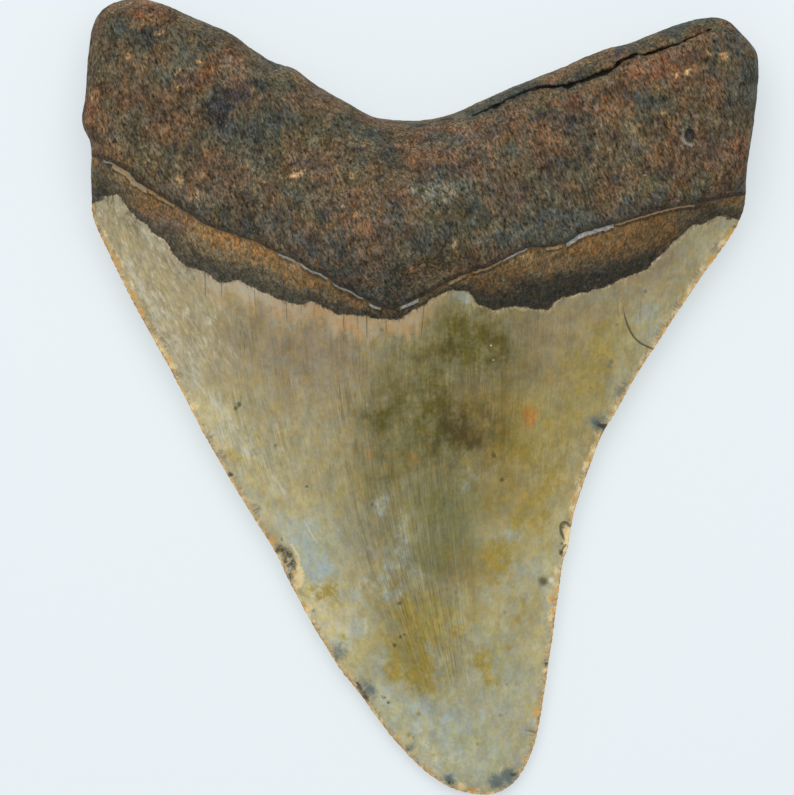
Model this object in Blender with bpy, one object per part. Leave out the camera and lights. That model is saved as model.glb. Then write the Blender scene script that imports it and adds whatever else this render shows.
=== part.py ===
"""Megalodon tooth: one fossil tooth lying on its flatter, labial face, with the root towards +Y.

The tooth is one solid. Its outline is drawn once, the upper (lingual) and lower (labial) faces are
heights over that outline, and both meet in a thin rim: the serrated cutting edge round the blade and
the widest line of the stone-like root. Sketch figures are millimetres on a tooth of SLANT_DRAWN.
"""

import math

import bmesh
import bpy
import numpy as np
from mathutils import Vector, kdtree, noise
from mathutils.geometry import delaunay_2d_cdt

# ---- driving dimensions -------------------------------------------------------------------------
SLANT_HEIGHT = 0.150  # metres, from the blade's tip to the far corner of the longer root lobe
SLANT_DRAWN = 150.0  # the same length in sketch millimetres
SKETCH = SLANT_HEIGHT / SLANT_DRAWN  # metres for each sketch millimetre

RIM_HALF = 0.35  # half the height of the upright rim where the two faces meet
ROOT_RIM_HEIGHT = 10.0  # the root is widest this far above the ground
TIP_RIM_HEIGHT = 1.8  # the cutting edge above the ground at the tip
RIM_RISE = 0.045  # how much the cutting edge rises for each millimetre towards the root
ROOT_RIM_BAND = (26.0, 45.0)  # the rim climbs from the cutting edge to the root between these y

BLADE_GAIN = 0.75  # height of the blade's upper face: gain * (soft distance to the edge) ** power
BLADE_POWER = 0.85
LABIAL_BEVEL = 7.0  # width of the bevel under the cutting edge
LABIAL_ARCH = 1.3  # the blade's underside stands this far off the ground at mid-length
LABIAL_ARCH_SPAN = (-58.0, -38.0)  # the arch starts and is full at these y

ROOT_HEIGHT = 18.0  # the lobes' upper face, at the middle of the root
LOBE_FALL = 0.001  # the lobes drop by this times x squared
BOSS_HEIGHT = 9.0  # the bulge above the V of the root
BOSS_CENTRE = (-3.5, 28.0)
BOSS_SPREAD = (26.0, 16.0)
ROOT_ROUND_TOP = 8.0  # width over which the root's upper face rounds off
ROOT_ROUND_BASE = 6.0

ROOT_STEP = 0.9  # the root's face stands this proud of the band below it
ENAMEL_STEP = 0.5  # and the enamel this proud of the band above it
STEP_HALF = 0.4  # half the width over which each step falls
STEP_SHOULDER = 1.5  # a further row of points this far to each side of a step
NECK_BLEND = (-3.0, 9.0)  # blade turns to root between these distances from the enamel's edge
LABIAL_BLEND = (-2.0, 5.0)

SERRATION_PITCH = 1.05
SERRATION_DEPTH = 0.28
LUMP_SIZES = ((9.0, 0.55), (4.2, 0.25))  # size and height of the root's lumps

# ---- sketch, in millimetres ---------------------------------------------------------------------
LEFT_EDGE = [
    (-57.3, 34.6), (-56.9, 31.0), (-54.2, 24.8), (-48.9, 14.3), (-43.1, 3.8), (-37.7, -6.6),
    (-31.6, -17.1), (-25.4, -27.0), (-22.6, -32.8), (-18.3, -40.6), (-14.2, -47.2), (-10.2, -52.4),
    (-6.4, -57.6), (-1.8, -62.9), (3.4, -67.2),
]
TIP = [(8.3, -69.1), (12.9, -69.2), (16.6, -66.8)]
RIGHT_EDGE = [
    (19.4, -61.6), (20.9, -55.0), (22.3, -45.9), (23.8, -35.0), (24.7, -28.9), (25.6, -25.9),
    (26.3, -21.5), (27.6, -17.1), (31.1, -7.5), (34.2, -2.0), (37.5, 3.8), (42.6, 11.7),
    (47.8, 19.5), (53.4, 27.4), (55.6, 31.2),
]
ROOT_RIGHT = [
    (56.4, 34.4), (56.7, 40.0), (57.5, 45.2), (58.3, 51.8), (58.6, 56.4), (58.2, 60.0),
    (55.9, 63.0), (53.2, 65.4), (50.8, 66.0), (46.9, 65.4),
]
NOTCH = [
    (42.0, 63.8), (36.5, 61.6), (31.2, 60.2), (26.0, 57.9), (20.8, 55.8), (15.5, 53.7),
    (10.3, 51.4), (5.1, 49.1), (0.0, 48.1), (-5.4, 48.2), (-8.8, 48.9), (-13.3, 51.4),
    (-18.5, 54.4), (-21.8, 56.9), (-25.8, 58.3), (-29.0, 60.2), (-33.0, 63.1), (-39.4, 65.9),
]
ROOT_LEFT = [
    (-44.6, 68.2), (-48.6, 69.1), (-52.6, 68.8), (-55.5, 67.2), (-57.1, 64.3), (-57.9, 59.0),
    (-58.4, 52.0), (-58.9, 47.8), (-57.4, 43.6), (-57.4, 39.0),
]
# lower border of the root on the upper face, left to right
ROOT_LINE = [
    (-66.0, 43.5), (-55.3, 41.0), (-51.6, 39.4), (-47.8, 36.3), (-43.2, 33.6), (-36.5, 29.5),
    (-29.0, 26.9), (-24.1, 24.6), (-19.5, 22.3), (-15.7, 20.1), (-10.8, 17.4), (-6.5, 15.5),
    (-3.3, 15.7), (1.6, 17.8), (5.1, 19.9), (10.1, 22.0), (13.6, 23.5), (19.0, 25.8),
    (23.9, 26.2), (27.9, 28.4), (33.1, 29.8), (42.0, 32.4), (50.0, 34.0), (66.0, 37.0),
]
# upper border of the enamel on the upper face, left to right
ENAMEL_LINE = [
    (-66.0, 33.0), (-57.2, 33.7), (-55.5, 35.0), (-52.4, 34.9), (-51.3, 33.3), (-47.8, 29.8),
    (-44.8, 27.2), (-42.6, 24.2), (-39.6, 22.3), (-36.4, 20.8), (-34.9, 20.0), (-31.9, 20.1),
    (-29.0, 18.5), (-25.8, 17.4), (-21.3, 16.2), (-19.0, 16.4), (-15.4, 14.8), (-10.0, 13.9),
    (-4.2, 13.3), (-2.8, 14.1), (1.6, 16.9), (5.1, 18.6), (7.8, 18.1), (9.6, 16.4),
    (12.7, 15.0), (16.0, 15.6), (21.6, 15.4), (23.9, 16.9), (31.4, 18.9), (35.8, 20.9),
    (39.4, 22.7), (42.0, 25.3), (46.0, 28.8), (49.2, 30.3), (52.7, 31.6), (55.1, 30.7),
    (66.0, 29.0),
]
# the same border on the labial face
LABIAL_LINE = [
    (-66.0, 41.0), (-57.4, 36.5), (-50.0, 31.5), (-40.0, 28.0), (-28.0, 26.5), (-15.0, 28.0),
    (-3.0, 30.5), (10.0, 29.5), (25.0, 27.0), (38.0, 28.0), (48.0, 31.0), (56.5, 36.0), (66.0, 41.0),
]
# the split that runs under the right lobe's upper border
SPLIT = [
    (9.0, 48.6), (16.9, 52.3), (21.3, 53.7), (24.9, 53.7), (28.4, 54.9), (31.9, 56.3),
    (35.6, 58.6), (40.8, 59.8), (46.2, 62.1), (50.2, 63.8),
]
SPLIT_HALF = 0.9
SPLIT_DEPTH = 1.6
PIT = np.array((46.6, 45.3))  # a small hollow in the right lobe
PIT_RADIUS = 1.6
PIT_DEPTH = 0.9
PIT_SIDES = 8
# flakes lost from the cutting edge: x, y, length along the edge, reach inwards, depth
FLAKES = [
    (-23.4, -29.6, 5.0, 2.6, 1.1), (26.0, -23.6, 3.4, 1.6, 0.9), (31.6, -5.6, 3.2, 1.8, 0.8),
    (17.0, -66.0, 4.5, 2.4, 0.7), (6.0, -67.6, 3.0, 1.8, 0.7), (-14.6, -44.6, 2.6, 1.6, 0.5),
    (-10.0, -51.6, 3.0, 1.6, 0.6), (39.6, 8.0, 1.8, 1.5, 0.5),
]

# ---- mesh density, in millimetres ---------------------------------------------------------------
ROOT_STATION = 2.4  # spacing of the rim's points round the root
ROOT_RINGS = (0.5, 1.7, 3.6, 6.2)  # rings of points inside the root's rim
BLADE_RINGS = (1.3, 3.6)
BORDER_SPACING = 1.5  # points along the root's and the enamel's borders
UPPER_SPACING = 3.3
LOWER_SPACING = 4.6
RIM_SPACING = 1.5  # the smoothed outline that the soft distances are measured from
POINT_GAP = 0.5  # least distance between two groups of points
RIM_GAP = 0.9  # least distance from the rim to the rows beside borders
LATTICE_REACH = 72.0  # the even lattice of points runs this far each way before it is trimmed
SEED_OFFSET = Vector((3.7, 1.3, 8.1))  # where the lumps are read from Blender's noise


def smooth_curve(points, closed=False, steps=12):
    """A Catmull-Rom curve through the points, as many short chords."""
    p = np.array(points, float)
    if closed:
        p = np.vstack([p[-1], p, p[0], p[1]])
    else:
        p = np.vstack([2 * p[0] - p[1], p, 2 * p[-1] - p[-2]])
    t = np.arange(steps)[:, None] / steps
    runs = []
    for a, b, c, d in zip(p[:-3], p[1:-2], p[2:-1], p[3:]):
        runs.append(
            0.5 * (2 * b + (c - a) * t + (2 * a - 5 * b + 4 * c - d) * t**2 + (3 * b - a - 3 * c + d) * t**3)
        )
    curve = np.vstack(runs)
    return curve if closed else np.vstack([curve, p[-2]])


def along(curve, spacing):
    """The curve read at even steps of about this spacing, its two ends kept."""
    lengths = np.linalg.norm(np.diff(curve, axis=0), axis=1)
    arc = np.concatenate([[0.0], np.cumsum(lengths)])
    stations = np.linspace(0.0, arc[-1], max(2, round(arc[-1] / spacing)) + 1)
    return np.column_stack([np.interp(stations, arc, curve[:, k]) for k in (0, 1)])


def right_normals(curve):
    """Unit normals to the right of the direction of travel: outwards on this counter-clockwise outline."""
    forward = np.gradient(curve, axis=0)
    forward /= np.linalg.norm(forward, axis=1)[:, None]
    return np.column_stack([forward[:, 1], -forward[:, 0]])


def smoothstep(low, high, value):
    t = np.clip((value - low) / (high - low), 0.0, 1.0)
    return t * t * (3.0 - 2.0 * t)


def quarter_round(part):
    """Rises from 0 to 1 as a quarter circle does, over part 0 to 1."""
    return np.sqrt(1.0 - (1.0 - np.clip(part, 0.0, 1.0)) ** 2)


def soft_distance(points, curve):
    """Distance to a curve that stays smooth in the middle, from the inverse cube of the distance
    summed along each chord. Beside a straight edge it is the true distance."""
    total = np.zeros(len(points))
    for a, b in zip(curve[:-1], curve[1:]):
        chord = b - a
        chord = chord / np.linalg.norm(chord)
        start = (a - points) @ chord
        end = (b - points) @ chord
        off = np.maximum(((a - points) ** 2).sum(axis=1) - start**2, 1e-4)
        total += (end / np.sqrt(off + end**2) - start / np.sqrt(off + start**2)) / off
    return np.sqrt(2.0 / total)


def nearest_on(points, curve):
    """For each point, the distance to the curve, how far along the nearest chord it lies, and whether
    it is to the curve's left, as a signed distance."""
    best = np.full(len(points), np.inf)
    signed = np.zeros(len(points))
    arc = np.zeros(len(points))
    run = 0.0
    for a, b in zip(curve[:-1], curve[1:]):
        chord = b - a
        length = np.linalg.norm(chord)
        chord = chord / length
        t = np.clip((points - a) @ chord, 0.0, length)
        gap = points - a - t[:, None] * chord
        distance = np.linalg.norm(gap, axis=1)
        side = np.sign(chord[0] * (points - a)[:, 1] - chord[1] * (points - a)[:, 0])
        closer = distance < best
        best = np.where(closer, distance, best)
        signed = np.where(closer, side * distance, signed)
        arc = np.where(closer, run + t, arc)
        run += length
    return best, arc, signed


def lumps(points):
    """Uneven stone-like relief, between about -1 and 1 times each lump's height."""
    relief = np.zeros(len(points))
    for size, height in LUMP_SIZES:
        relief += height * np.array(
            [noise.noise(Vector((x / size, y / size, size)) + SEED_OFFSET) for x, y in points]
        )
    return relief


def pit_depth(points):
    return PIT_DEPTH * np.clip(1.0 - ((points - PIT) ** 2).sum(axis=1) / PIT_RADIUS**2, 0.0, 1.0)


class Sketch:
    """The tooth's outline and borders as curves."""

    def __init__(self):
        cutting = LEFT_EDGE + TIP + RIGHT_EDGE
        root = ROOT_RIGHT + NOTCH + ROOT_LEFT
        whole = smooth_curve(cutting + root, closed=True)
        turn = np.argmin(np.linalg.norm(whole - np.array(ROOT_RIGHT[0]), axis=1))
        self.cutting_edge = whole[: turn + 1]
        self.root_rim = np.vstack([whole[turn:], whole[:1]])
        self.measuring_edge = along(self.cutting_edge, RIM_SPACING)
        self.measuring_rim = np.vstack([self.measuring_edge[:-1], along(self.root_rim, RIM_SPACING)])
        self.root_line = smooth_curve(ROOT_LINE)
        self.enamel_line = smooth_curve(ENAMEL_LINE)
        self.labial_line = smooth_curve(LABIAL_LINE)
        self.split = smooth_curve(SPLIT)

    def rim_height(self, points):
        blade = TIP_RIM_HEIGHT + RIM_RISE * (points[:, 1] - TIP[1][1])
        return blade + (ROOT_RIM_HEIGHT - blade) * smoothstep(*ROOT_RIM_BAND, points[:, 1])

    def blade_height(self, points):
        inset = soft_distance(points, self.measuring_edge)
        return self.rim_height(points) + BLADE_GAIN * inset**BLADE_POWER

    def root_height(self, points, inset):
        """The root's upper face: a plateau with a boss, rounded down to the rim."""
        rim = self.rim_height(points)
        x, y = points.T
        boss = ((x - BOSS_CENTRE[0]) / BOSS_SPREAD[0]) ** 2 + ((y - BOSS_CENTRE[1]) / BOSS_SPREAD[1]) ** 2
        plateau = ROOT_HEIGHT - LOBE_FALL * x**2 + BOSS_HEIGHT * np.exp(-boss)
        return rim + (plateau - rim) * quarter_round(inset / ROOT_ROUND_TOP)

    def upper_height(self, points):
        """Height of the lingual face over each point."""
        inset = soft_distance(points, self.measuring_rim)
        above_enamel = nearest_on(points, self.enamel_line)[2]
        above_root_line = nearest_on(points, self.root_line)[2]
        blade = self.blade_height(points)
        root = self.root_height(points, inset)
        height = blade + (root - blade) * smoothstep(*NECK_BLEND, above_enamel)
        is_root = smoothstep(-STEP_HALF, STEP_HALF, above_root_line)
        is_band = smoothstep(-STEP_HALF, STEP_HALF, above_enamel) - is_root
        steps = is_root * (ROOT_STEP + lumps(points)) - is_band * ENAMEL_STEP
        height += steps * smoothstep(0.0, 2.5, inset)
        height -= self.split_depth(points) * smoothstep(0.4, 2.0, inset)
        height -= pit_depth(points) + self.flake_depth(points)
        return np.maximum(height, self.rim_height(points) + 0.1)

    def split_depth(self, points):
        return SPLIT_DEPTH * (1.0 - smoothstep(0.0, SPLIT_HALF, nearest_on(points, self.split)[0]))

    def flake_depth(self, points):
        """How deep the flakes broken from the cutting edge cut into the upper face."""
        edge_gap, arc, _ = nearest_on(points, self.cutting_edge)
        depth = np.zeros(len(points))
        for x, y, length, reach, deep in FLAKES:
            centre = nearest_on(np.array([[x, y]]), self.cutting_edge)[1][0]
            scar = ((arc - centre) / (length / 2)) ** 2 + (edge_gap / reach) ** 2
            depth = np.maximum(depth, deep * np.clip(1.0 - scar, 0.0, 1.0))
        return depth

    def lower_height(self, points):
        """Height of the labial face over each point. The root's flat and the tip's pad lie at zero."""
        rim = self.rim_height(points)
        inset = soft_distance(points, self.measuring_rim)
        edge_gap = soft_distance(points, self.measuring_edge)
        arch = LABIAL_ARCH * smoothstep(*LABIAL_ARCH_SPAN, points[:, 1])
        bevel = np.clip(1.0 - edge_gap / LABIAL_BEVEL, 0.0, 1.0) ** 2
        blade = arch + (rim - arch) * bevel
        root = rim * (1.0 - quarter_round(inset / ROOT_ROUND_BASE))
        above_border = nearest_on(points, self.labial_line)[2]
        height = blade + (root - blade) * smoothstep(*LABIAL_BLEND, above_border)
        return np.clip(height, 0.0, rim - 0.1)


def serrated_rim(sketch):
    """Rim points, counter-clockwise: two to each serration along the cutting edge, then the root."""
    edge = along(sketch.cutting_edge, SERRATION_PITCH / 2)
    out = right_normals(edge)
    wear = np.array([0.75 + 0.5 * noise.noise(Vector((k * 0.05, 0.0, 0.0))) for k in range(len(edge))])
    tooth = np.where(np.arange(len(edge)) % 2 == 1, 1.0, 0.0)
    tooth[:2] = tooth[-2:] = 0.0
    edge += out * (SERRATION_DEPTH * wear * tooth)[:, None]
    root = along(sketch.root_rim, ROOT_STATION)
    return np.vstack([edge, root[1:-1]])


def inset_ring(curve, inset, spacing):
    """Points along a curve, moved inwards, to the outline's left."""
    stations = along(curve, spacing)
    return stations - right_normals(stations) * inset


def hexagonal_lattice(spacing):
    """Even points over the whole outline's box."""
    rise = spacing * math.sqrt(0.75)
    rows = np.arange(-LATTICE_REACH, LATTICE_REACH, rise)
    columns = np.arange(-LATTICE_REACH, LATTICE_REACH, spacing)
    return np.array([(x + 0.5 * spacing * (j % 2), y) for j, y in enumerate(rows) for x in columns])


def inside(points, outline):
    """Whether each point lies in the closed outline, by counting crossings."""
    x, y = points.T
    found = np.zeros(len(points), bool)
    for a, b in zip(outline, np.roll(outline, -1, axis=0)):
        crosses = (a[1] > y) != (b[1] > y)
        if crosses.any():
            at = a[0] + (y[crosses] - a[1]) * (b[0] - a[0]) / (b[1] - a[1])
            found[crosses] ^= x[crosses] < at
    return found


def search_tree(points):
    tree = kdtree.KDTree(len(points))
    for i, (x, y) in enumerate(points):
        tree.insert((x, y, 0.0), i)
    tree.balance()
    return tree


class Layout:
    """Points over the outline and the edges that its triangles must keep. The rim comes first."""

    def __init__(self, rim):
        self.rim = rim
        self.rim_tree = search_tree(rim)
        self.points = rim
        self.edges = [(i, (i + 1) % len(rim)) for i in range(len(rim))]

    def add(self, points, apart, from_rim, chained=False):
        """Add the points that lie inside the rim and keep clear of it and of those before them. A
        chained row also keeps the edges between its neighbours."""
        tree = search_tree(self.points)
        within = inside(points, self.rim)
        last = None
        kept = []
        for i, (x, y) in enumerate(points):
            clear = tree.find((x, y, 0.0))[2] >= apart and self.rim_tree.find((x, y, 0.0))[2] >= from_rim
            if not (within[i] and clear):
                last = None
                continue
            here = len(self.points) + len(kept)
            if chained and last is not None:
                self.edges.append((last, here))
            last = here
            kept.append((x, y))
        if kept:
            self.points = np.vstack([self.points, kept])

    def add_rows(self, line, offsets):
        """Chained rows beside a line, such as the top and the foot of a border's step."""
        stations = along(line, BORDER_SPACING)
        for offset in offsets:
            self.add(stations + right_normals(stations) * offset, POINT_GAP, RIM_GAP, chained=True)

    def triangles(self):
        """The final points and the triangles that lie inside the rim."""
        corners = [Vector(p) for p in self.points]
        points, _, faces, *_ = delaunay_2d_cdt(corners, self.edges, [], 0, 1e-6, False)
        points = np.array([p[:] for p in points])
        faces = np.array(faces)
        return points, faces[inside(points[faces].mean(axis=1), self.rim)]


def finished_layout(layout, sketch, spacing):
    """Fill the rest of a face: rings inside the rim, then an even lattice."""
    for inset in ROOT_RINGS:
        layout.add(inset_ring(sketch.root_rim, inset, ROOT_STATION), POINT_GAP, inset * 0.9)
    for inset in BLADE_RINGS:
        layout.add(inset_ring(sketch.cutting_edge, inset, inset + 0.3), 0.9, inset * 0.8)
    layout.add(hexagonal_lattice(spacing), spacing * 0.6, spacing * 0.6)
    return layout


def upper_layout(sketch, rim):
    layout = Layout(rim)
    layout.add_rows(sketch.split, (0.0, -SPLIT_HALF, SPLIT_HALF))
    for border in (sketch.root_line, sketch.enamel_line):
        layout.add_rows(border, (-STEP_HALF, STEP_HALF))
    for border in (sketch.root_line, sketch.enamel_line):
        layout.add_rows(border, (-STEP_SHOULDER, STEP_SHOULDER))
    turns = np.linspace(0.0, math.tau, PIT_SIDES, endpoint=False)
    circle = np.column_stack([np.cos(turns), np.sin(turns)]) * PIT_RADIUS
    layout.add(np.vstack([[PIT], PIT + circle / 2, PIT + circle]), POINT_GAP, RIM_GAP)
    return finished_layout(layout, sketch, UPPER_SPACING)


def lower_layout(sketch, rim):
    layout = Layout(rim)
    layout.add_rows(sketch.labial_line, (-STEP_HALF, STEP_HALF))
    return finished_layout(layout, sketch, LOWER_SPACING)


def corners(mesh, points, heights, centre):
    """Mesh vertices for sketch points and heights, in metres from the middle of the outline."""
    spots = np.column_stack([points - centre, heights]) * SKETCH
    return [mesh.verts.new(spot) for spot in spots]


def tooth_mesh(sketch):
    """The closed mesh: the upper face, the lower face and the rim between them."""
    rim = serrated_rim(sketch)
    count = len(rim)
    centre = (rim.min(axis=0) + rim.max(axis=0)) / 2
    upper, upper_faces = upper_layout(sketch, rim).triangles()
    lower, lower_faces = lower_layout(sketch, rim).triangles()
    upper_z = sketch.upper_height(upper)
    lower_z = sketch.lower_height(lower)
    upper_z[:count] = sketch.rim_height(rim) + RIM_HALF
    lower_z[:count] = sketch.rim_height(rim) - RIM_HALF
    mesh = bmesh.new()
    top = corners(mesh, upper, upper_z, centre)
    base = corners(mesh, lower, lower_z, centre)
    for a, b, c in upper_faces:
        mesh.faces.new((top[a], top[b], top[c]))
    for a, b, c in lower_faces:
        mesh.faces.new((base[c], base[b], base[a]))
    for i in range(count):
        j = (i + 1) % count
        mesh.faces.new((top[j], top[i], base[i], base[j]))
    bmesh.ops.recalc_face_normals(mesh, faces=mesh.faces)
    colour_zones(sketch, mesh, centre)
    data = bpy.data.meshes.new("tooth")
    mesh.to_mesh(data)
    mesh.free()
    return data


def colour_zones(sketch, mesh, centre):
    """Shade each face smooth and give it its material: 0 root, 1 band below the root, 2 enamel."""
    middles = np.array([face.calc_center_median()[:2] for face in mesh.faces]) / SKETCH + centre
    faces_down = np.array([face.normal.z < 0.0 for face in mesh.faces])
    above_root_line = nearest_on(middles, sketch.root_line)[2]
    above_enamel = nearest_on(middles, sketch.enamel_line)[2]
    above_labial = nearest_on(middles, sketch.labial_line)[2]
    upper_zone = np.where(above_root_line > 0.0, 0, np.where(above_enamel > 0.0, 1, 2))
    lower_zone = np.where(above_labial > 0.0, 0, 2)
    for face, zone in zip(mesh.faces, np.where(faces_down, lower_zone, upper_zone)):
        face.material_index = int(zone)
        face.smooth = True


def finish(name, colour, roughness):
    material = bpy.data.materials.new(name)
    material.use_nodes = True
    shader = material.node_tree.nodes["Principled BSDF"]
    shader.inputs["Base Color"].default_value = (*colour, 1.0)
    shader.inputs["Roughness"].default_value = roughness
    shader.inputs["Metallic"].default_value = 0.0
    material.diffuse_color = (*colour, 1.0)
    return material


def clear_scene():
    for item in list(bpy.data.objects):
        bpy.data.objects.remove(item, do_unlink=True)


def main():
    clear_scene()
    data = tooth_mesh(Sketch())
    data.materials.append(finish("root", (0.105, 0.080, 0.052), 0.75))
    data.materials.append(finish("band", (0.100, 0.075, 0.045), 0.6))
    data.materials.append(finish("enamel", (0.320, 0.280, 0.165), 0.4))
    tooth = bpy.data.objects.new("tooth", data)
    bpy.context.scene.collection.objects.link(tooth)
    data.set_sharp_from_angle(angle=math.radians(50.0))
    print(f"tooth: {sum(len(p.vertices) - 2 for p in data.polygons)} triangles")


main()
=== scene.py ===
import math

import bpy
import numpy as np
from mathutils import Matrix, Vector, kdtree, noise
from mathutils.geometry import delaunay_2d_cdt


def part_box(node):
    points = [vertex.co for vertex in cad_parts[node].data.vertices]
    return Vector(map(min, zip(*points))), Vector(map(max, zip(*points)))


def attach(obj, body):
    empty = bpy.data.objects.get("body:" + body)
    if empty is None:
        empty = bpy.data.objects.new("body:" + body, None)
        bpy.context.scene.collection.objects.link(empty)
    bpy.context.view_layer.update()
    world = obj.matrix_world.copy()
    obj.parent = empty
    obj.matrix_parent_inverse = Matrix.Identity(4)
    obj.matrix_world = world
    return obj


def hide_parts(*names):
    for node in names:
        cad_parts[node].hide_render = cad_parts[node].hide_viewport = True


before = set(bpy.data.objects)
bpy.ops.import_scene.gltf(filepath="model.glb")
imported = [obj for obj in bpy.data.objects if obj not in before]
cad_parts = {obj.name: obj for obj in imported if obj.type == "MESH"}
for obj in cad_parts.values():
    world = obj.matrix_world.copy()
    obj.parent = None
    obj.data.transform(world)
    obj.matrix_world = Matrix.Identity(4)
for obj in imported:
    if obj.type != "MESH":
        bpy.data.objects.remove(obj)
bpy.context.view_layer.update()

noise.seed_set(1)  # noise_vector is drawn from this seed, so every run gives the same stains

# Sketch figures are millimetres, with the same outline and borders as the CAD part.
leftEdge = [
    (-57.3, 34.6), (-56.9, 31.0), (-54.2, 24.8), (-48.9, 14.3), (-43.1, 3.8), (-37.7, -6.6),
    (-31.6, -17.1), (-25.4, -27.0), (-22.6, -32.8), (-18.3, -40.6), (-14.2, -47.2), (-10.2, -52.4),
    (-6.4, -57.6), (-1.8, -62.9), (3.4, -67.2),
]
tipEdge = [(8.3, -69.1), (12.9, -69.2), (16.6, -66.8)]
rightEdge = [
    (19.4, -61.6), (20.9, -55.0), (22.3, -45.9), (23.8, -35.0), (24.7, -28.9), (25.6, -25.9),
    (26.3, -21.5), (27.6, -17.1), (31.1, -7.5), (34.2, -2.0), (37.5, 3.8), (42.6, 11.7),
    (47.8, 19.5), (53.4, 27.4), (55.6, 31.2),
]
rootRight = [
    (56.4, 34.4), (56.7, 40.0), (57.5, 45.2), (58.3, 51.8), (58.6, 56.4), (58.2, 60.0),
    (55.9, 63.0), (53.2, 65.4), (50.8, 66.0), (46.9, 65.4),
]
notch = [
    (42.0, 63.8), (36.5, 61.6), (31.2, 60.2), (26.0, 57.9), (20.8, 55.8), (15.5, 53.7),
    (10.3, 51.4), (5.1, 49.1), (0.0, 48.1), (-5.4, 48.2), (-8.8, 48.9), (-13.3, 51.4),
    (-18.5, 54.4), (-21.8, 56.9), (-25.8, 58.3), (-29.0, 60.2), (-33.0, 63.1), (-39.4, 65.9),
]
rootLeft = [
    (-44.6, 68.2), (-48.6, 69.1), (-52.6, 68.8), (-55.5, 67.2), (-57.1, 64.3), (-57.9, 59.0),
    (-58.4, 52.0), (-58.9, 47.8), (-57.4, 43.6), (-57.4, 39.0),
]
rootBorder = [  # lower border of the root, left to right
    (-66.0, 43.5), (-55.3, 41.0), (-51.6, 39.4), (-47.8, 36.3), (-43.2, 33.6), (-36.5, 29.5),
    (-29.0, 26.9), (-24.1, 24.6), (-19.5, 22.3), (-15.7, 20.1), (-10.8, 17.4), (-6.5, 15.5),
    (-3.3, 15.7), (1.6, 17.8), (5.1, 19.9), (10.1, 22.0), (13.6, 23.5), (19.0, 25.8),
    (23.9, 26.2), (27.9, 28.4), (33.1, 29.8), (42.0, 32.4), (50.0, 34.0), (66.0, 37.0),
]
enamelBorder = [  # upper border of the enamel, left to right
    (-66.0, 33.0), (-57.2, 33.7), (-55.5, 35.0), (-52.4, 34.9), (-51.3, 33.3), (-47.8, 29.8),
    (-44.8, 27.2), (-42.6, 24.2), (-39.6, 22.3), (-36.4, 20.8), (-34.9, 20.0), (-31.9, 20.1),
    (-29.0, 18.5), (-25.8, 17.4), (-21.3, 16.2), (-19.0, 16.4), (-15.4, 14.8), (-10.0, 13.9),
    (-4.2, 13.3), (-2.8, 14.1), (1.6, 16.9), (5.1, 18.6), (7.8, 18.1), (9.6, 16.4),
    (12.7, 15.0), (16.0, 15.6), (21.6, 15.4), (23.9, 16.9), (31.4, 18.9), (35.8, 20.9),
    (39.4, 22.7), (42.0, 25.3), (46.0, 28.8), (49.2, 30.3), (52.7, 31.6), (55.1, 30.7),
    (66.0, 29.0),
]
labialBorder = [  # border of the enamel on the face that lies down
    (-66.0, 41.0), (-57.4, 36.5), (-50.0, 31.5), (-40.0, 28.0), (-28.0, 26.5), (-15.0, 28.0),
    (-3.0, 30.5), (10.0, 29.5), (25.0, 27.0), (38.0, 28.0), (48.0, 31.0), (56.5, 36.0), (66.0, 41.0),
]
splitLine = [  # the split under the right lobe's upper border
    (9.0, 48.6), (16.9, 52.3), (21.3, 53.7), (24.9, 53.7), (28.4, 54.9), (31.9, 56.3),
    (35.6, 58.6), (40.8, 59.8), (46.2, 62.1), (50.2, 63.8),
]
creaseLine = [
    (-51.6, 23.5), (-47.4, 16.2), (-43.6, 9.4), (-40.5, 4.0), (-39.4, 2.1),
    (-31.6, -6.1), (-23.7, -16.7), (-19.5, -23.0), (-18.1, -25.3),
]

bodyShape = {
    "rimHalf": 0.35,  # half the height of the upright rim where the two faces meet
    "rootRimHeight": 10.0,
    "tipRimHeight": 1.8,
    "rimRise": 0.045,
    "rootRimBand": (26.0, 45.0),
    "bladeGain": 0.75,
    "bladePower": 0.85,
    "restGap": 0.02,  # the bumps underneath are worn flat this far above the floor
    "labialBevel": 7.0,
    "labialArch": 1.3,
    "labialArchSpan": (-58.0, -38.0),
    "rootHeight": 18.0,
    "lobeFall": 0.001,
    "bossHeight": 9.0,
    "bossCentre": (-3.5, 28.0),
    "bossSpread": (26.0, 16.0),
    "rootRoundTop": 8.0,
    "rootRoundBase": 6.0,
    "rootStep": 0.9,  # the root stands this proud of the band
    "enamelStep": 0.5,  # and the enamel this proud of it
    "stepHalf": 0.16,
    "neckBlend": (-3.0, 9.0),
    "labialBlend": (-2.0, 5.0),
    "lumpSizes": ((9.0, 0.55), (4.2, 0.25)),
    "splitHalf": 0.6,
    "splitLength": 42.0,
    "splitDepth": 1.6,
    "crackDepth": 0.12,
    "creaseLevels": (-26.0, -14.0, -6.0, 6.0, 24.0),
    "creaseWidths": (0.35, 0.45, 1.2, 2.2, 3.0),
    "pitCentre": (46.6, 45.3),
    "pitRadii": (1.05, 1.45),
    "pitDepth": 1.0,
    "stripProud": 0.16,
    "ledgeGroove": (0.55, 0.22, 0.3),  # how far above the root's border, half width, depth
}

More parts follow.
